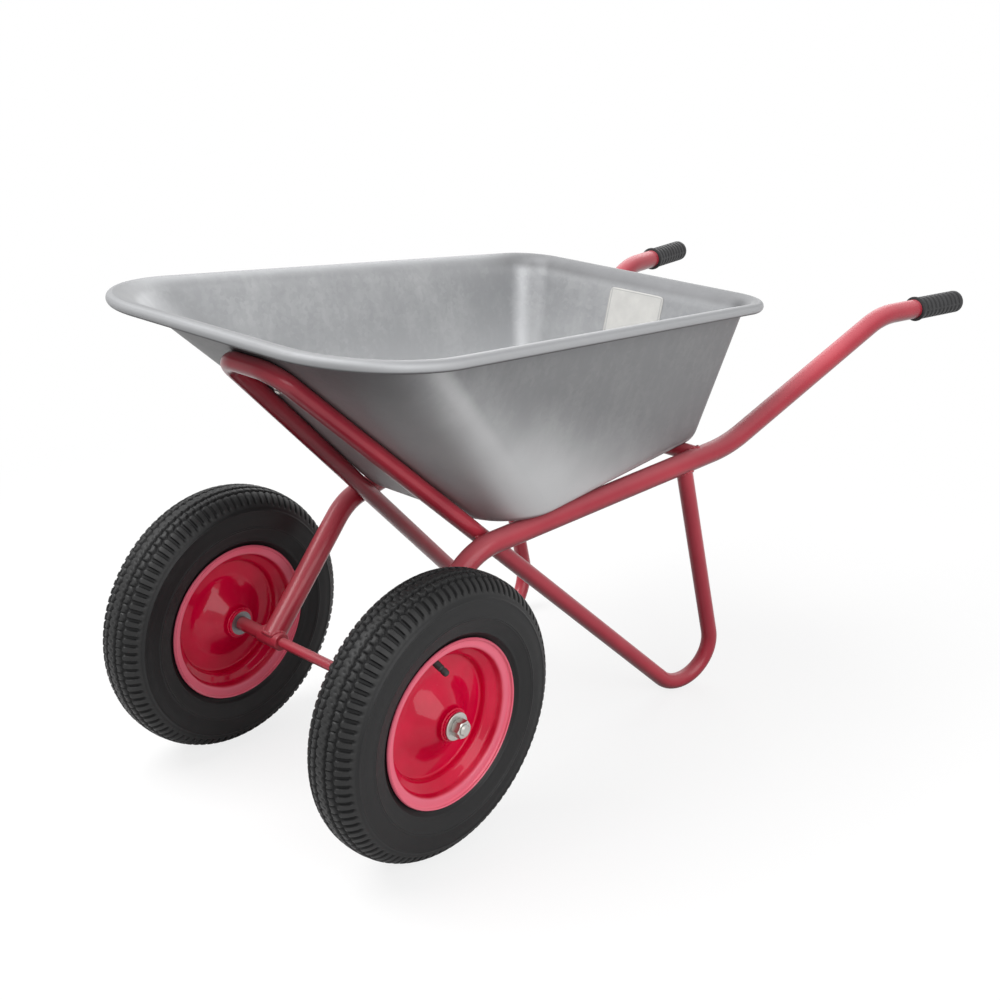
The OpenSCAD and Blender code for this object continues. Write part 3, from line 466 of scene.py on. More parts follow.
# The near black colour and its weight paint shade in the grooves
tyreLook = dict(
    black=(15, 15, 16), worn=(42, 42, 42), dust=(64, 63, 60), pit=(3, 3, 4), cloudScale=24.0, grainScale=900.0,
    ringScale=2600.0, wearing=0.55, dusting=0.30, pitting=0.9, rough=0.40, shine={"Specular IOR Level": 0.32})

# Tyre rubber: worn grey on the lugs' tops, painted shade in the grooves that makes them blacker than the rubber,
# fine rings on the sidewall, a grainy skin
def tyreFinish(look=tyreLook):
    p = newPaint("tyreRubber", look)
    groove, crown = p.mark("groove"), p.mark("crown")
    cloud, grain = p.noise(look["cloudScale"], 5.0, 0.6), p.noise(look["grainScale"], 3.0, 0.6)
    rings = p.sine(p.fromAxle() * look["ringScale"])
    worn = p.band(crown - groove + cloud * 0.5, 0.7, 1.4)
    # Painted shade in the grooves; the same mask roughens them and keeps dust out of them
    pit = p.band(groove, 0.15, 0.75)
    dust = p.band(cloud - pit * 0.4, 0.55, 1.0)
    tone = p.blend(worn * look["wearing"], "black", "worn")
    dusty = p.blend(dust * look["dusting"], tone, "dust")
    colour = p.blend(pit * look["pitting"], dusty, "pit")
    rough = look["rough"] + cloud * 0.16 + dust * 0.18 + worn * 0.06 + pit * 0.2
    relief = grain * 0.6 + rings * 0.10 * (1.0 - crown) + cloud * 0.4
    return p.finish(colour, rough, (relief, 0.22, 0.0006), look["shine"])


gripLook = dict(black=(18, 18, 20), grey=(44, 44, 46), grainScale=700.0, cloudScale=60.0, rough=0.62)

# Soft moulded plastic: matt, with a leathery grain and palms' polish on the ribs
def gripFinish(look=gripLook):
    p = newPaint("gripPlastic", look)
    rib, cloud = p.mark("rib"), p.noise(look["cloudScale"], 4.0)
    grain = p.node("ShaderNodeTexVoronoi", {}, {"Vector": p.where, "Scale": look["grainScale"]})
    tone = p.blend(p.band(cloud + rib * 0.3, 0.4, 1.1), "black", "grey")
    rough = look["rough"] - rib * 0.14 + cloud * 0.12
    return p.finish(tone, rough, (grain * 0.5 + cloud * 0.4, 0.25, 0.0005))


plainRubberLook = dict(black=(22, 22, 23), chalky=(52, 52, 52), cloudScale=90.0, rough=0.5)

# Rubber of the valves and the inner tubes: plain, a little chalky
def plainRubberFinish(look=plainRubberLook):
    p = newPaint("plainRubber", look)
    cloud = p.noise(look["cloudScale"], 4.0)
    tone = p.blend(p.band(cloud, 0.35, 0.75), "black", "chalky")
    return p.finish(tone, look["rough"] + cloud * 0.25, (cloud, 0.15, 0.0005))


zincLook = dict(
    cool=(182, 183, 184), bloom=(194, 190, 180), stained=(128, 122, 112), cloudScale=120.0, lineScale=900.0,
    drawn=(1.0, 1.0, 8.0), stainScale=70.0, staining=0.4, rough=0.24, shine={"Metallic": 0.95})

# Zinc plate on the fasteners: cool bright metal with a yellowish bloom, fine turning lines and stains
def zincFinish(look=zincLook):
    p = newPaint("zincPlate", look)
    cloud = p.noise(look["cloudScale"], 4.0)
    lines = p.noise(look["lineScale"], where=p.stretched(look["drawn"]))
    stain = p.band(p.noise(look["stainScale"], 5.0, 0.7), 0.58, 0.76)
    colour = p.blend(stain * look["staining"], p.blend(cloud, "cool", "bloom"), "stained")
    rough = look["rough"] + cloud * 0.14 + stain * 0.2
    return p.finish(colour, rough, (lines, 0.08, 0.0003), look["shine"])


bearingLook = dict(dark=(124, 125, 128), pale=(152, 152, 154), cloudScale=200.0, rough=0.36, shine={"Metallic": 1.0})

# Ground steel of the bearings, with a film of grease
def bearingFinish(look=bearingLook):
    p = newPaint("bearingSteel", look)
    cloud = p.noise(look["cloudScale"], 4.0)
    return p.finish(p.blend(cloud, "dark", "pale"), look["rough"] + cloud * 0.2, (cloud, 0.05, 0.0003), look["shine"])


labelLook = dict(
    dull=(182, 181, 178), white=(194, 193, 189), line=(150, 150, 150), cloudScale=45.0, lining=0.6, rough=0.32)

# Blank vinyl label: off-white, with a thin grey line a little inside its edge and a few dull patches
def labelFinish(look=labelLook):
    p = newPaint("blankLabel", look)
    edge, cloud = p.mark("edge"), p.noise(look["cloudScale"], 4.0)
    line = p.band(edge, 0.05, 0.06) * p.fall(edge, 0.085, 0.095)
    tone = p.blend(p.band(cloud, 0.3, 0.8), "dull", "white")
    colour = p.blend(line * look["lining"], tone, "line")
    return p.finish(colour, look["rough"] + cloud * 0.14, (cloud, 0.06, 0.0004))


plainRubber, blankLabel = plainRubberFinish(), labelFinish()
slotPaints = {"galvanised": galvanisedFinish(), "frame_paint": framePaintFinish(), "rim_paint": rimPaintFinish(),
              "zinc": zincFinish(), "bearing_steel": bearingFinish(), "tyre": tyreFinish(),
              "tube_rubber": plainRubber, "valve_rubber": plainRubber, "grip": gripFinish()}
for part in frame["record"]["subparts"]:
    materials = frame["nodes"][part["node"]].data.materials
    materials.clear()
    materials.append(slotPaints[part["material_slot"]])
print("finishes made:", len(bpy.data.materials))


# Handle tubes

handleForm = dict(
    radius=0.016, axleGap=0.210, gripGap=0.583, reach=1.205, gripZ=0.561, gripCap=0.005, front=(0.165, 0.352),
    rear=(0.650, 0.406), upper=(0.998, 0.563), bends=(0.090, 0.220, 0.150), sink=0.0008, endDepth=0.0005)
bossForm = dict(radius=0.0125, length=0.042, edge=0.001)
frontBend, rearBend = handleForm["front"], handleForm["rear"]
splay = (handleForm["gripGap"] - handleForm["axleGap"]) / 2 / handleForm["reach"]
handleRise = (rearBend[1] - frontBend[1]) / (rearBend[0] - frontBend[0])
tubeEnd = handleForm["reach"] - handleForm["gripCap"] / np.hypot(splay, 1)


# Place across the barrow, and height of the straight run, at a distance y behind the axle
def handleX(y):
    return handleForm["axleGap"] / 2 + splay * y


def handleZ(y):
    return frontBend[1] + handleRise * (y - frontBend[0])


def onHandle(y, side):
    return np.array([side * handleX(y), axleY + y, handleZ(y)])


def handleCorners(side):
    run = [(0.0, axleZ), frontBend, rearBend, handleForm["upper"], (tubeEnd, handleForm["gripZ"])]
    return np.array([(side * handleX(y), axleY + y, z) for y, z in run])


# The front end of each tube is coped: its first ring is pushed up the tube until it lies on the boss
for name, side in sides.items():
    line = bentLine(handleCorners(side), handleForm["bends"])
    grid = tube(line, handleForm["radius"])
    start, way = line[0][0], line[2][0]
    off = (grid[:, 2] - start) @ unit(np.cross(axleWay, way))
    push = np.sqrt(np.maximum(bossForm["radius"] ** 2 - off ** 2, 0)) - handleForm["sink"]
    grid[:, 2] += np.maximum(push, 0)[:, None] * way
    grid[:, :2] = grid[:, 2:3] - handleForm["endDepth"] * way
    grid[:, 0] = grid[:, 0].mean(0)
    gridPiece(name + "HandleTube", grid, "frame_paint", replaces=(name + "_handle_tube",))
print("handle tubes bent")


# Tray

trayForm = dict(
    length=0.866, frontWidth=0.574, rearWidth=0.486, overhang=0.178, frontZ=0.690, rearZ=0.627, frontRadius=0.145,
    rearRadius=0.066, floorFront=0.328, floorRear=0.362, floorFrontRadius=0.092, floorRearRadius=0.038, rearRake=0.051,
    frontRake=0.359, blend=0.020, sheet=0.0012, roll=0.0075, lip=0.018, flare=0.030, rollTurn=(90, -215), floorSteps=12,
    blendSteps=10, wallSteps=24, flareSteps=16, rollSteps=34)
floorLift = (handleForm["radius"] + seatGap) * np.hypot(1, handleRise)
wallFront = axleY - trayForm["overhang"] + trayForm["lip"]
wallRear = axleY - trayForm["overhang"] + trayForm["length"] - trayForm["lip"]
floorFront, floorRear = wallFront + trayForm["frontRake"], wallRear - trayForm["rearRake"]
rollInside = trayForm["roll"] - trayForm["sheet"]
wallFrontZ, wallRearZ = trayForm["frontZ"] + rollInside, trayForm["rearZ"] + rollInside


def floorZ(y):
    return handleZ(y - axleY) + floorLift


# Rounded outline at one level: four quarter arcs joined by straights. Each row is x, y and the outward angle.
def trayOutline(frontY, rearY, frontW, rearW, frontR, rearR, arcSteps=28, sideSteps=30, endSteps=14):
    lean = np.arctan2((frontW - rearW) / 2, rearY - frontY)
    out = np.cos(lean) * rearW / 2 + np.sin(lean) * rearY
    rearAt = np.array([(out - rearR - np.sin(lean) * (rearY - rearR)) / np.cos(lean), rearY - rearR])
    frontAt = np.array([(out - frontR - np.sin(lean) * (frontY + frontR)) / np.cos(lean), frontY + frontR])
    half, flip = np.pi / 2, np.array([-1, 1])

    def arc(at, r, start, stop):
        a = np.linspace(start, stop, arcSteps)
        return np.column_stack([at + r * np.column_stack([np.cos(a), np.sin(a)]), a])

    arcs = [arc(rearAt, rearR, lean, half), arc(rearAt * flip, rearR, half, 2 * half - lean),
            arc(frontAt * flip, frontR, 2 * half - lean, 3 * half), arc(frontAt, frontR, 3 * half, 4 * half + lean)]
    rows = []
    for before, after, steps in zip(arcs, arcs[1:] + arcs[:1], (endSteps, sideSteps) * 2):
        s = np.linspace(0, 1, steps + 1)[1:-1, None]
        rows += [before, before[-1] + s * (np.append(after[0, :2], before[-1, 2]) - before[-1])]
    return np.vstack(rows)


# The sheet's outer face, as one grid: rows go round the tray, columns go from the middle of the floor to its edge,
# through the blend (a parabola), up the wall, out along the flare (another parabola) and round the roll (a circle)
def trayGrid(form=trayForm):
    def steps(key):
        return np.linspace(0, 1, form[key])[:, None, None]

    foot = trayOutline(floorFront, floorRear, form["floorFront"], form["floorRear"],
                       form["floorFrontRadius"], form["floorRearRadius"])
    brim = trayOutline(wallFront, wallRear, form["frontWidth"] - 2 * form["lip"], form["rearWidth"] - 2 * form["lip"],
                       form["frontRadius"] - form["lip"], form["rearRadius"] - form["lip"])
    footAt = np.column_stack([foot[:, :2], floorZ(foot[:, 1])])
    share = (brim[:, 1] - wallFront) / (wallRear - wallFront)
    top = np.column_stack([brim[:, :2], wallFrontZ + (wallRearZ - wallFrontZ) * share])
    up = unit(top - footAt)
    floorWay = np.column_stack([np.cos(foot[:, 2]), np.sin(foot[:, 2]), handleRise * np.sin(foot[:, 2])])
    out = np.column_stack([np.cos(brim[:, 2]), np.sin(brim[:, 2]), np.zeros(len(brim))])
    edge = footAt - form["blend"] * floorWay
    middleY = (floorFront + floorRear) / 2
    middle = np.array([0, middleY, floorZ(middleY)])
    floor = middle + steps("floorSteps")[:-1] * (edge - middle)
    s = steps("blendSteps")
    blend = footAt + form["blend"] * (s ** 2 * up - (1 - s) ** 2 * floorWay)
    wallStart, wallStop = footAt + form["blend"] * up, top - form["flare"] * up
    wall = wallStart + steps("wallSteps")[1:-1] * (wallStop - wallStart)
    s = steps("flareSteps")[:-1]
    flare = top + form["lip"] * s ** 2 * out - form["flare"] * (1 - s) ** 2 * up
    a = np.radians(np.linspace(*form["rollTurn"], form["rollSteps"]))[:, None, None]
    roll = top + (form["lip"] + rollInside * np.cos(a)) * out + rollInside * (np.sin(a) - 1) * np.array([0, 0, 1.0])
    columns = np.concatenate([floor, blend, wall, flare, roll])
    # The mark for rubbing, which also places the painted shade on the lip and the roll, grows over the flare and is 1
    # on the roll
    rubbed = np.concatenate([np.zeros(len(floor) + len(blend) + len(wall)), np.linspace(0, 0.9, len(flare)),
                             np.ones(len(roll))])
    return columns.transpose(1, 0, 2), np.broadcast_to(rubbed, (len(foot), len(rubbed)))


trayPoints, rubbedMarks = trayGrid()
tray = gridPiece("trayShell", trayPoints, "galvanised", sharp=70, marks={"rubbed": rubbedMarks},
                 replaces=("tray",))
sheet = tray.modifiers.new("sheet", "SOLIDIFY")
sheet.thickness, sheet.offset, sheet.use_even_offset = trayForm["sheet"], -1.0, True
print("tray drawn")

labelForm = dict(
    width=0.104, height=0.078, centreX=0.009, upWall=0.158, stand=0.0004, film=0.00025, squareness=14.0, lines=41)


# Blank label on the inside of the rear wall: a flat grid of u and v from -1 to 1, pulled in to the outline on which
# the high powers of both add up to 1, a rectangle with rounded corners. Its mark is the distance from that outline.
def labelGrid(form=labelForm):
    foot, brim = np.array([0, floorRear, floorZ(floorRear)]), np.array([0, wallRear, wallRearZ])
    up = unit(brim - foot)
    inward = np.cross(axleWay, up)
    line, power = np.linspace(-1, 1, form["lines"]), form["squareness"]
    u, v = np.meshgrid(line, line, indexing="ij")
    reach = np.maximum(np.abs(u), np.abs(v))
    pull = reach / np.maximum((np.abs(u) ** power + np.abs(v) ** power) ** (1 / power), 1e-9)
    at = foot + form["upWall"] * up + form["centreX"] * axleWay + (trayForm["sheet"] + form["stand"]) * inward
    points = at + (pull * u)[..., None] * form["width"] / 2 * axleWay + (pull * v)[..., None] * form["height"] / 2 * up
    return points, 1 - pull * reach


labelPoints, labelEdge = labelGrid()
label = gridPiece("blankLabel", labelPoints, "galvanised", wrapRows=False, marks={"edge": labelEdge}, paint=blankLabel)
film = label.modifiers.new("film", "SOLIDIFY")
film.thickness, film.offset = labelForm["film"], 0.0
print("label set on the rear wall")


# Leg hoop

legForm = dict(
    radius=0.0125, hoopZ=0.635, footGap=0.408, footBend=0.058, hoopBend=0.034, gapToCross=0.006, plateDrop=0.062,
    plateThick=0.004, arcSteps=26)
crossForm = dict(radius=0.0125, inset=0.012, boltGap=0.190)
crossY = floorRear - axleY - trayForm["blend"] - crossForm["inset"]
frontSlope = np.arctan2(wallFrontZ - floorZ(floorFront), trayForm["frontRake"])
legFall = np.tan(frontSlope)
legOff = (legForm["radius"] + seatGap) / np.cos(frontSlope)


# The diagonals lie a leg's radius under the front wall
def diagonalY(z):
    return floorFront + (floorZ(floorFront) - legOff - z) / legFall


def diagonalZ(y):
    return floorZ(floorFront) - (y - floorFront) * legFall - legOff


# Corners of the hoop, half of it: top of the rear leg on the handle tube, corner below the foot, corner of the hoop.
# The foot's corner is moved until its bend stands on the ground.
def hoopCorners(form=legForm, rounds=12):
    bendY = axleY + frontBend[0]
    meetY = bendY + (diagonalZ(bendY) - frontBend[1]) / (legFall + handleRise)
    normal = np.cross((splay, 1, -legFall), (splay, 1, handleRise))
    gap = (handleForm["radius"] + form["radius"] + seatGap) * np.linalg.norm(normal) / normal[0]
    meetX = handleX(meetY - axleY) - gap
    legTop = onHandle(crossY - crossForm["radius"] - form["gapToCross"] - form["radius"], 1)
    footX, z = form["footGap"] / 2, 0.0
    for _ in range(rounds):
        foot = np.array([footX, diagonalY(z), z])
        lean = (footX - meetX) / (foot[1] - meetY)
        upFront, upRear = unit((-lean, -1, legFall)), unit(legTop - foot)
        half = np.arccos(upFront @ upRear) / 2
        flat = unit(np.cross(upFront, upRear))[2]
        z = form["radius"] + form["footBend"] * (np.sqrt(1 - flat ** 2) - unit(upFront + upRear)[2] / np.sin(half))
    hoopY = diagonalY(form["hoopZ"])
    hoop = np.array([footX - lean * (foot[1] - hoopY), hoopY, form["hoopZ"]])
    return np.array([legTop, foot, hoop]), np.array([meetX, meetY, diagonalZ(meetY)])


halfHoop, meetPoint = hoopCorners()
hoopLine = bentLine(np.vstack([halfHoop, halfHoop[::-1] * (-1, 1, 1)]),
                    (legForm["footBend"], legForm["hoopBend"], legForm["hoopBend"], legForm["footBend"]),
                    legForm["arcSteps"])
gridPiece("legHoop", tube(hoopLine, legForm["radius"]), "frame_paint", replaces=("leg_hoop",))

floorNormal = unit((0, -handleRise, 1))
crossOnFloor = np.array([0, axleY + crossY, floorZ(axleY + crossY)])
crossAt = crossOnFloor - (crossForm["radius"] + seatGap) * floorNormal
crossHalf = (handleX(crossY) - handleForm["radius"] / 2) * axleWay
crossLine = bentLine(np.array([crossAt - crossHalf, crossAt + crossHalf]), ())
gridPiece("crossTube", tube(crossLine, crossForm["radius"]), "frame_paint", replaces=("cross_tube",))
print("leg hoop and cross tube set")


# Welds

weldForm = dict(size=0.0026, small=0.0019, pitch=0.0052, ripple=0.14, filletLength=0.034, filletLift=0.0062)


# Bead round the end of a tube that stands on another
def weld(name, size, *rodAndBar):
    curve = meetingCurve(*rodAndBar)
    ripples = round(runAlong(curve)[-1] / weldForm["pitch"])
    gridPiece(name, bead(curve, size, ripples), "frame_paint", wrapCols=True, sharp=80)


# Short fillet between two tubes that touch side by side: a slim spindle along their common direction, with ripples
def fillet(name, at, way, form=weldForm, stations=40, turns=14):
    s = np.linspace(0, 1, stations)
    ripple = 1 + form["ripple"] * np.cos(s * tau * form["filletLength"] / form["pitch"])
    swell = form["size"] * np.sqrt(np.maximum(1 - (2 * s - 1) ** 6, 0)) * ripple
    outline = np.column_stack([(s - 0.5) * form["filletLength"], swell])
    gridPiece(name, spun(outline, at, way, turns), "frame_paint", sharp=80)


for name, side in sides.items():
    flip = np.array([side, 1, 1])
    bossAt, firstBend = handleCorners(side)[:2]
    legTop, foot, hoop = halfHoop * flip
    runWay = unit((side * splay, 1, handleRise))
    weld(name + "BossWeld", weldForm["size"], bossAt, bossAt - firstBend, handleForm["radius"],
         bossAt, axleWay, bossForm["radius"])
    weld(name + "LegWeld", weldForm["small"], legTop, legTop - foot, legForm["radius"],
         legTop, runWay, handleForm["radius"])
    weld(name + "CrossWeld", weldForm["small"], crossAt, axleWay * side, crossForm["radius"],
         onHandle(crossY, side), runWay, handleForm["radius"])
    touch = meetPoint * flip
    inner = unit(onHandle(meetPoint[1] - axleY, side) - touch)
    hoopWay = unit(hoop - foot)
    square = unit(np.cross(inner, hoopWay + runWay))
    for end, lift in (("Upper", weldForm["filletLift"]), ("Lower", -weldForm["filletLift"])):
        fillet(name + end + "CrossingWeld", touch + legForm["radius"] * inner + lift * square, runWay - hoopWay)
print("welds laid")


# Axle, bosses and what is strung on it

axleForm = dict(
    radius=0.0075, spacerRadius=0.010, spacerEdge=0.0006, hubLength=0.078, washerRadius=0.019, washerThick=0.0025,
    washerEdge=0.0007, nutFlats=0.022, nutHeight=0.013, tail=0.003, runGap=0.0005, thread=0.00125, threadDepth=0.0005,
    chamfer=0.0012, chamferLength=0.001)
hubHalf = axleForm["hubLength"] / 2
hubIn, hubOut = wheelX - hubHalf, wheelX + hubHalf
bossStart, bossEnd = (handleForm["axleGap"] / 2 + end * bossForm["length"] / 2 for end in (-1, 1))
washerAt = hubOut + axleForm["runGap"]
nutAt = washerAt + axleForm["washerThick"]
axleEnd = nutAt + axleForm["nutHeight"] + axleForm["tail"]
onAxle = np.array([0, axleY, axleZ])


# Outline of a collar between two places along its axis, with eased edges, from its bore out and back
def collarOutline(start, stop, bore, radius, edge, steps=5):
    c, s = quarterTurn(steps)
    corner = np.column_stack([edge * (1 - s), radius - edge * (1 - c)])
    return np.vstack([[(start, bore)], corner[::-1] + (start, 0), corner * (-1, 1) + (stop, 0), [(stop, bore)]])


# Axle: a painted bar, and at each end a bare stub with a row of thread ridges and a chamfer
def stubOutline(form=axleForm):
    ridge = np.arange(0, form["nutHeight"] + form["tail"] - form["chamferLength"], form["thread"] / 4)
    wave = form["threadDepth"] * (np.cos(ridge / form["thread"] * tau) - 1) / 2
    thread = np.column_stack([nutAt + ridge, form["radius"] + wave])
    return np.vstack([[(hubIn, 0), (hubIn, form["radius"])], thread,
                      [(axleEnd, form["radius"] - form["chamfer"]), (axleEnd, 0)]])


barOutline = [(-hubIn, 0), (-hubIn, axleForm["radius"]), (hubIn, axleForm["radius"]), (hubIn, 0)]
gridPiece("axleBar", spun(barOutline, onAxle, axleWay, 48), "frame_paint", replaces=("axle",))
for name, side in sides.items():
    gridPiece(name + "AxleStub", spun(stubOutline(), onAxle, axleWay * side, 48), "zinc", sharp=50)
collars = (("Boss", "frame_paint", bossStart, bossEnd, bossForm["radius"], bossForm["edge"], 56),
           ("Spacer", "frame_paint", bossEnd, hubIn - axleForm["runGap"], axleForm["spacerRadius"],
            axleForm["spacerEdge"], 48),
           ("AxleWasher", "zinc", washerAt, nutAt, axleForm["washerRadius"], axleForm["washerEdge"], 64))
for name, side in sides.items():
    for kind, slot, start, stop, radius, edge, turns in collars:
        outline = collarOutline(start, stop, axleForm["radius"], radius, edge)
        gridPiece(name + kind, spun(outline, onAxle, axleWay * side, turns), slot, wrapCols=True)
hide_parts("axle_bosses")
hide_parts("axle_spacers")
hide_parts("axle_washers")

nutForm = dict(depths=(0, 0, 0.02, 0.08, 0.16, 0.5, 0.84, 0.92, 0.98, 1, 1), coneStart=0.96, coneSlope=1.9)


# Hexagon nut: a round bar whose radius is that of a hexagon at each angle, cut back by a cone at both faces
def nut(name, form, base, way, up=(0, 0, 1), turns=96):
    half, height = form["nutFlats"] / 2, form["nutHeight"]
    depth = np.array(nutForm["depths"]) * height
    angle = wholeTurn(turns)[:, None]
    hexagon = half / np.cos((angle + np.pi / 6) % (np.pi / 3) - np.pi / 6)
    cone = half * nutForm["coneStart"] + np.minimum(depth, height - depth) * nutForm["coneSlope"]
    radius = np.minimum(hexagon, cone)
    radius[:, [0, -1]] = form["radius"]
    grid = spun(np.column_stack([depth, np.ones(len(depth))]), base, way, turns, radius, up)
    gridPiece(name, grid, "zinc", wrapCols=True, sharp=24)


for name, side in sides.items():
    nut(name + "AxleNut", axleForm, onAxle + axleWay * side * nutAt, axleWay * side)
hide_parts("axle_nuts")
print("axle strung")


# Tray bolts

boltForm = dict(
    radius=0.004, headRadius=0.009, headHeight=0.0045, headEdge=0.0004, headUnder=0.0006, chamfer=0.0008,
    nutFlats=0.013, nutHeight=0.0065, washerRadius=0.011, washerThick=0.0016, washerEdge=0.0004, neck=0.0001,
    tail=0.003)


# A domed bolt through a stack: dome on the sheet's inside, shank, washer and nut under it
def boltSet(name, seat, way, stack, form=boltForm):
    c, s = quarterTurn(9)
    dome = np.column_stack([form["headHeight"] * s, form["headRadius"] * c])
    below = stack + form["washerThick"] + form["nutHeight"] + form["tail"]
    shank = [(-below, 0), (-below, form["radius"] - form["chamfer"]), (form["chamfer"] - below, form["radius"]),
             (-form["neck"], form["radius"]), (0, form["headRadius"] - form["headUnder"]),
             (form["headEdge"], form["headRadius"])]
    gridPiece(name + "Bolt", spun(np.vstack([shank, dome[1:]]), seat, way, 40), "zinc")
    under = seat - way * stack
    washer = collarOutline(-form["washerThick"], 0, form["radius"], form["washerRadius"], form["washerEdge"])
    gridPiece(name + "Washer", spun(washer, under, way, 48), "zinc", wrapCols=True)
    nut(name + "Nut", form, under - way * form["washerThick"], -way, axleWay)


slopeWay = np.array([0, np.cos(frontSlope), -np.sin(frontSlope)])
slopeNormal = np.array([0, np.sin(frontSlope), np.cos(frontSlope)])
hoopMiddle = np.array([0, halfHoop[2][1], halfHoop[2][2]])
boltSeat = (hoopMiddle + legForm["plateDrop"] * slopeWay
            + (legForm["radius"] + seatGap + trayForm["sheet"]) * slopeNormal)
boltSet("hoop", boltSeat, slopeNormal, trayForm["sheet"] + seatGap + legForm["plateThick"])
for name, side in sides.items():
    seat = crossOnFloor + side * crossForm["boltGap"] / 2 * axleWay + trayForm["sheet"] * floorNormal
    boltSet(name + "Floor", seat, floorNormal, trayForm["sheet"] + 2 * seatGap + 2 * crossForm["radius"])
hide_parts("tray_bolts")
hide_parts("tray_washers")
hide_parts("tray_nuts")
print("tray bolted")


# Grips

gripForm = dict(
    radius=0.0185, length=0.118, endRadius=0.007, ribs=9, plain=0.009, ribDepth=0.0012, runOut=0.003, flange=0.0205,
    flangeThick=0.004, edge=0.0009, flats=4, flatShare=0.16, flatFill=0.85, flatDepth=0.0004, boreGap=0.00005,
    lines=186)


# Sleeve over the tube's end: its bore, a flange at the front, rings of raised ribs with a soft-edged profile, broken by
# plain bands along it, and a rounded closed end
def gripGrid(base, way, form=gripForm, turns=112):
    length, full = form["length"], form["radius"]
    pitch = (length - 2 * form["plain"]) / form["ribs"]
    z = np.linspace(form["flangeThick"] + 0.001, length - form["endRadius"], form["lines"])
    wave = np.cos((z - form["plain"]) / pitch * tau)
    inside = (softStep(form["plain"] * 0.9, form["plain"] * 1.1, z)
              * softStep(0, form["runOut"], length - form["plain"] - z))
    groove = softStep(-0.2, 0.5, -wave + 0.15) * inside
    angle = wholeTurn(turns)[:, None]
    band = softStep(np.cos(np.pi * form["flatShare"]), 1.0, np.cos(angle * form["flats"]))
    depth = form["ribDepth"] * groove * (1 - form["flatFill"] * band)
    bodyRadius = full - depth - form["flatDepth"] * band * inside
    c, s = quarterTurn(10)
    endZ, endRadius = length - form["endRadius"] * (1 - s[1:]), full - form["endRadius"] * (1 - c[1:])
    bore = handleForm["radius"] + form["boreGap"]
    cap, flange, thick, e = length - handleForm["gripCap"], form["flange"], form["flangeThick"], form["edge"]
    startZ = [cap, cap, 0, 0, e, thick - e, thick, thick]
    startRadius = [0, bore, bore, flange - e, flange, flange, flange - e, full]
    along = np.concatenate([startZ, z, endZ, [length]])
    radius = np.column_stack([np.tile(startRadius, (turns, 1)), bodyRadius, np.tile(endRadius, (turns, 1)),
                              np.zeros(turns)])
    rib = np.column_stack([np.zeros((turns, len(startZ))), 1 - depth / form["ribDepth"],
                           np.full((turns, len(c)), 0.6)])
    return spun(np.column_stack([along, np.ones(len(along))]), base, way, turns, radius), rib


for name, side in sides.items():
    corners = handleCorners(side)
    way = unit(corners[-1] - corners[-2])
    grid, ribMarks = gripGrid(corners[-1] - (gripForm["length"] - handleForm["gripCap"]) * way, way)
    gridPiece(name + "Grip", grid, "grip", sharp=60, marks={"rib": ribMarks}, replaces=(name + "_grip",))
print("grips pushed on")


# Wheels

# section is half of the tyre from the crown down to the bead, as (across, radius); sideRadii are the lines of its mesh
# below the tread; grooves are (place, swing, floor, top) and rings (radius, width, height)
tyreForm = dict(
    lugs=96, samples=768, treadLines=64, treadHalf=0.0525, grooveDepth=0.0030, slotDepth=0.0030, slitDepth=0.0024,
    cutDepth=0.0018, ringsFrom=0.03, cavityAt=0.1475, cavity=0.0375, cavityTurn=(-60, 240), beadToe=0.0175,
    section=[(0, 0.195), (0.010, 0.1944), (0.020, 0.1921), (0.028, 0.1880), (0.0345, 0.1819), (0.0388, 0.1749),
             (0.0418, 0.1665), (0.0435, 0.1590), (0.0438, 0.1520), (0.0431, 0.1433), (0.0409, 0.1336), (0.0375, 0.1252),
             (0.0336, 0.1196), (0.0305, 0.1150), (0.0294, 0.1085), (0.0294, 0.1030)],
    sideRadii=[0.1708, 0.1698, 0.1690, 0.1680, 0.1672, 0.1662, 0.1600, 0.1535, 0.1475, 0.1458, 0.1450, 0.1442, 0.1434,
               0.1426, 0.1418, 0.1405, 0.1350, 0.1290, 0.1258, 0.1248, 0.1238, 0.1228, 0.1218, 0.1190, 0.1140, 0.1085,
               0.1030],
    grooves=[(0.0085, 0.0012, 0.0014, 0.0026), (0.0205, 0.0014, 0.0015, 0.0028)],
    rings=[(0.1685, 0.0013, 0.0013), (0.1450, 0.0008, 0.0008), (0.1425, 0.0008, 0.0008), (0.1238, 0.0016, 0.0012)])


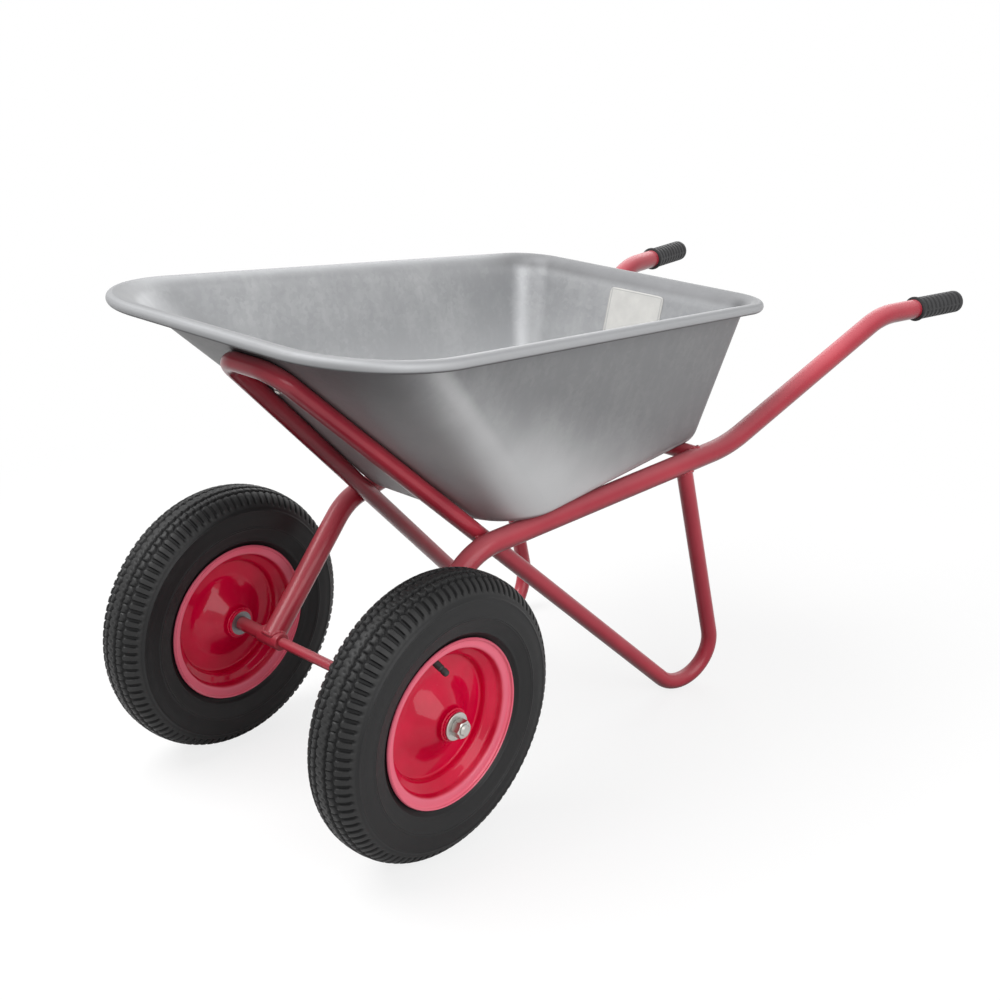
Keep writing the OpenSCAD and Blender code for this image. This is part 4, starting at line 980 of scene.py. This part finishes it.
# The tyre: a section carried round the axle. Along the section's normal the surface drops into the tread: two zigzag
# grooves to each side of the crown, slits across the block rows, slots between the shoulder lugs that run out on the
# sidewall, and low rings on the sidewall. The inside is a round cavity between the two bead toes.
def tyreGrid(centre, form=tyreForm):
    half = smoothThrough(form["section"], 360)
    full = np.vstack([half[::-1] * (-1, 1), half[1:]])
    run = runAlong(full)
    run -= run[-1] / 2
    beyond = np.interp(-np.array(form["sideRadii"]), -half[:, 1], np.linspace(0, run[-1], len(half)))
    tread = np.linspace(-form["treadHalf"], form["treadHalf"], form["treadLines"])
    stations = np.concatenate([-beyond[::-1], tread, beyond])
    x = np.interp(stations, run, full[:, 0])
    r = np.interp(stations, run, full[:, 1])
    normal = unit(np.column_stack([-np.gradient(r, stations), np.gradient(x, stations)]))
    away = np.abs(stations)
    turns = form["samples"]
    phase = (np.arange(turns) / turns * form["lugs"])[:, None]
    zigzag = np.abs((phase % 1) * 2 - 1) * 2 - 1
    handed = np.where(stations < 0, 0.5, 0.0)
    slotPhase = np.abs(((phase + handed) % 1) - 0.5) * 2
    blockPhase = np.abs(((phase + 0.5 + handed) % 1) - 0.5) * 2
    groove = np.maximum.reduce([1 - softStep(low, high, np.abs(away - at - swing * zigzag))
                                for at, swing, low, high in form["grooves"]])
    row = softStep(0.009, 0.010, away) * (1 - softStep(0.019, 0.020, away))
    slit = row * softStep(0.72, 0.86, blockPhase)
    centreCut = 0.6 * (1 - softStep(0.0045, 0.0058, away)) * softStep(0.70, 0.86, slotPhase)
    shoulder = softStep(0.0225, 0.0240, away) * (1 - softStep(0.0400, 0.0470, away))
    slot = shoulder * softStep(0.60, 0.78, slotPhase)
    depth = np.maximum.reduce([form["grooveDepth"] * groove, form["slitDepth"] * slit,
                               form["cutDepth"] * centreCut, form["slotDepth"] * slot])
    raised = sum(height * np.exp(-((r - at) / width) ** 2) for at, width, height in form["rings"])
    lift = np.where(away > form["ringsFrom"], raised, 0) - depth
    turn = np.radians(np.linspace(*form["cavityTurn"], 9))
    cavity = np.column_stack([np.cos(turn), np.sin(turn)]) * form["cavity"] + (0, form["cavityAt"])
    inside = np.vstack([[(form["beadToe"], r[-1])], cavity, [(-form["beadToe"], r[0])]])
    across = np.hstack([x + lift * normal[:, 0], np.tile(inside[:, 0], (turns, 1))])
    radius = np.hstack([r + lift * normal[:, 1], np.tile(inside[:, 1], (turns, 1))])
    angle = wholeTurn(turns)[:, None]
    points = centre + np.stack([across, -radius * np.sin(angle), radius * np.cos(angle)], -1)
    plain = np.zeros((turns, len(inside)))
    crown = np.broadcast_to(1 - softStep(0.046, 0.052, away), depth.shape)
    return points, {"groove": np.hstack([depth / form["slotDepth"], plain]), "crown": np.hstack([crown, plain])}


rimForm = dict(
    thick=0.002, hub=0.0205, coneRadius=0.056, well=0.087, bead=0.1015, flange=0.1155, width=0.059, inset=0.004,
    collar=0.008, collarTaper=0.0004, coneFoot=(0.006, -0.008), coneTop=0.004, wellHalf=0.012, ramp=0.008, flare=0.0035,
    lip=0.0022, crest=0.0006, press=0.0052)


# Middle line of one pressed half, as (place along the axle from the wheel's middle, radius): a collar on the hub, a
# cone, a flat web, the drop centre, the bead seat and a flange whose edge is rolled out
def rimPath(form=rimForm):
    t = form["thick"] / 2
    collarR = form["hub"] + seatGap + t
    collarX = hubHalf - form["inset"]
    coneR, seat, flange = form["coneRadius"], form["bead"] - t, form["flange"]
    flangeX = form["width"] / 2 + t
    flareX = flangeX + form["flare"]
    path = [(collarX, collarR), (collarX - form["collar"], collarR + form["collarTaper"]),
            (t + form["coneFoot"][0], coneR + form["coneFoot"][1]), (t, coneR + form["coneTop"]),
            (t, form["well"] - t), (form["wellHalf"], form["well"] - t), (form["wellHalf"] + form["ramp"], seat),
            (flangeX, seat), (flangeX, flange - form["flare"]), (flareX, flange - form["crest"]),
            (flareX + form["lip"], flange - form["lip"])]
    return eased(path, form["press"], 9)


hubForm = dict(edge=0.0008, weld=0.0018, weldLift=0.0008, ripples=28, seat=0.01752, bore=0.015, bearing=0.011)
valveForm = dict(
    turn=radians(12), sink=0.001, radius=0.0055, length=0.018, root=0.005, tip=0.0036, tipDepth=0.002, tipEnd=0.0001,
    neck=0.0006, rib=0.00035, ribs=9, ridge=0.05, ridges=18, ridgeRun=(0.001, 0.007),
    cap=[(0, 0), (0, 0.0041), (0.0004, 0.0045), (0.0015, 0.0045), (0.006, 0.0043), (0.0075, 0.0041), (0.0086, 0.0034),
         (0.009, 0.0028), (0.009, 0)])


# Valve: a ribbed rubber stem with a ridged cap on its end
def valveOutline(form=valveForm):
    s = np.linspace(0, 1, 40)
    stem = np.column_stack([-form["root"] + s * (form["length"] + form["root"] - form["tipDepth"]),
                            form["radius"] - form["neck"] * softStep(0.2, 0.4, s)
                            - form["rib"] * (np.cos(s * form["ribs"] * tau) > 0.3)])
    end = form["length"] + form["tipEnd"]
    return np.vstack([[(-form["root"], 0)], stem, [(form["length"], form["tip"]), (end, form["tip"]), (end, 0)]])


def capGrid(base, way, form=valveForm, turns=72):
    along = np.array(form["cap"])[:, 0]
    ridged = (along > form["ridgeRun"][0]) & (along < form["ridgeRun"][1])
    ridges = 1 + form["ridge"] * np.cos(wholeTurn(turns) * form["ridges"])[:, None] * ridged
    return spun(form["cap"], base, way, turns, ridges)


rimEdge = sheetOutline(rimPath(), rimForm["thick"])
collarRing = [(hubHalf - rimForm["inset"], rimForm["hub"] + hubForm["weldLift"])]
step = hubHalf - hubForm["bearing"]
hubEdge = np.vstack([collarOutline(-hubHalf, hubHalf, hubForm["seat"], rimForm["hub"], hubForm["edge"]),
                     [(step, hubForm["seat"]), (step, hubForm["bore"]), (-step, hubForm["bore"]),
                      (-step, hubForm["seat"])]])
slope = unit((rimForm["ramp"], rimForm["bead"] - rimForm["well"]))
valveIn = rimForm["wellHalf"] + rimForm["ramp"] / 2
valveUp = (rimForm["well"] + rimForm["bead"]) / 2 - valveForm["sink"]
outward = np.array([0, -np.sin(valveForm["turn"]), np.cos(valveForm["turn"])])
for name, side in sides.items():
    body = name + "_wheel"
    centre, way = wheelCentre[body], axleWay * side
    grid, tyreMarks = tyreGrid(centre)
    gridPiece(name + "Tyre", grid, "tyre", body, wrapCols=True, sharp=50, marks=tyreMarks,
              replaces=(name + "_tyre",))
    for half, turnedWay in (("outer", way), ("inner", -way)):
        gridPiece(name + half.capitalize() + "Rim", spun(rimEdge, centre, turnedWay, 192), "rim_paint", body,
                  wrapCols=True, sharp=50, replaces=(name + "_rim_" + half,))
        ring = spun(collarRing, centre, turnedWay, 160)[:, 0]
        gridPiece(name + half.capitalize() + "CollarWeld", bead(ring, hubForm["weld"], hubForm["ripples"]), "rim_paint",
                  body, wrapCols=True, sharp=80)
    gridPiece(name + "Hub", spun(hubEdge, centre, way, 72), "rim_paint", body, wrapCols=True,
              replaces=(name + "_hub_sleeve",))
    valveAt = centre + valveIn * way + valveUp * outward
    valveWay = unit(slope[1] * way - slope[0] * outward)
    gridPiece(name + "ValveStem", spun(valveOutline(), valveAt, valveWay, 48), "valve_rubber", body,
              replaces=(name + "_valve_stem",))
    gridPiece(name + "ValveCap", capGrid(valveAt + (valveForm["length"] + seatGap) * valveWay, valveWay),
              "valve_rubber", body, sharp=50, replaces=(name + "_valve_cap",))
    print(name, "wheel built")


# Floor, light and camera

floorForm = dict(half=9.0, pale=0.92, bounce=0.38, glow=0.80, fade=(0.75, 1.5))
floorMesh = bpy.data.meshes.new("floor")
floorMesh.from_pydata([(x * floorForm["half"], y * floorForm["half"], 0)
                       for x, y in ((-1, -1), (1, -1), (1, 1), (-1, 1))], [], [(0, 1, 2, 3)])
floor = newObject("floor", floorMesh)
floorPaint = newPaint("paleFloor")
seen = floorPaint.node("ShaderNodeLightPath", out=0) * floorForm["glow"]
far = floorPaint.band(floorPaint.length(floorPaint.where), *floorForm["fade"])
bounce, matt = (floorPaint.node("ShaderNodeBsdfDiffuse", {}, {"Color": (floorForm[key],) * 3 + (1,)})
                for key in ("bounce", "pale"))
glow = floorPaint.node("ShaderNodeEmission", {}, {"Color": (1, 1, 1, 1), "Strength": 1.0})
pale = floorPaint.mixed(seen + far * (1.0 - seen), matt, glow)
floorPaint.node("ShaderNodeOutputMaterial", {}, {"Surface": floorPaint.mixed(floorPaint.stageRays(), bounce, pale)})
floorMesh.materials.append(floorPaint.owner)

skyLight = 0.40
world = bpy.data.worlds.new("studio")
bpy.context.scene.world = world
air = Paint(world)
soft, plain = (air.node("ShaderNodeBackground", {}, {"Color": (1, 1, 1, 1), "Strength": strength})
               for strength in (skyLight, 1.0))
air.node("ShaderNodeOutputWorld", {}, {"Surface": air.mixed(air.stageRays(), soft, plain)})


# Puts a lamp or camera at a place: the columns of its matrix are its own right, up and backward ways
def setUp(name, data, right, up, back, at):
    holder = newObject(name, data)
    holder.matrix_world = Matrix(np.vstack([np.column_stack([right, up, back, at]), (0, 0, 0, 1)]).tolist())
    return holder


# Soft lamps: power, size, place and the point that each looks at
lampForm = dict(
    key=(108.0, 2.2, (-0.9, -1.6, 3.0), (0, -0.1, 0.3)), fill=(54.0, 2.6, (2.8, -0.8, 1.6), (0, -0.1, 0.4)),
    back=(30.0, 2.4, (-1.6, 2.4, 2.2), (0, 0, 0.4)))
nearlyUp = (0.01, 0.02, 1)
for name, (power, size, at, target) in lampForm.items():
    lamp = bpy.data.lights.new(name, "AREA")
    lamp.energy, lamp.size = power, size
    back = unit(np.subtract(at, target))
    right = unit(np.cross(nearlyUp, back))
    setUp(name, lamp, right, np.cross(back, right), back, at)

# The photograph's view: bearing, height and roll in degrees, distance to a point on the barrow, focal length
cameraForm = dict(
    azimuth=41.436, elevation=20.482, roll=1.583, distance=2.24247, across=-0.0120, behindAxle=0.36286, height=0.3425,
    lens=53.5, sensor=36.0, shiftX=0.00404, shiftY=-0.00616)


def setCamera(form=cameraForm):
    a, e, w = (radians(form[key]) for key in ("azimuth", "elevation", "roll"))
    back = np.array([np.sin(a) * np.cos(e), -np.cos(a) * np.cos(e), np.sin(e)])
    right = np.array([np.cos(a), np.sin(a), 0])
    up = np.cross(back, right)
    right, up = np.cos(w) * right + np.sin(w) * up, np.cos(w) * up - np.sin(w) * right
    at = np.array([form["across"], axleY + form["behindAxle"], form["height"]]) + form["distance"] * back
    lens = bpy.data.cameras.new("camera")
    lens.lens, lens.sensor_width = form["lens"], form["sensor"]
    lens.shift_x, lens.shift_y = form["shiftX"], form["shiftY"]
    bpy.context.scene.camera = setUp("camera", lens, right, up, back, at)


setCamera()
bpy.context.scene.view_settings.view_transform = "Standard"
print("stage lit")
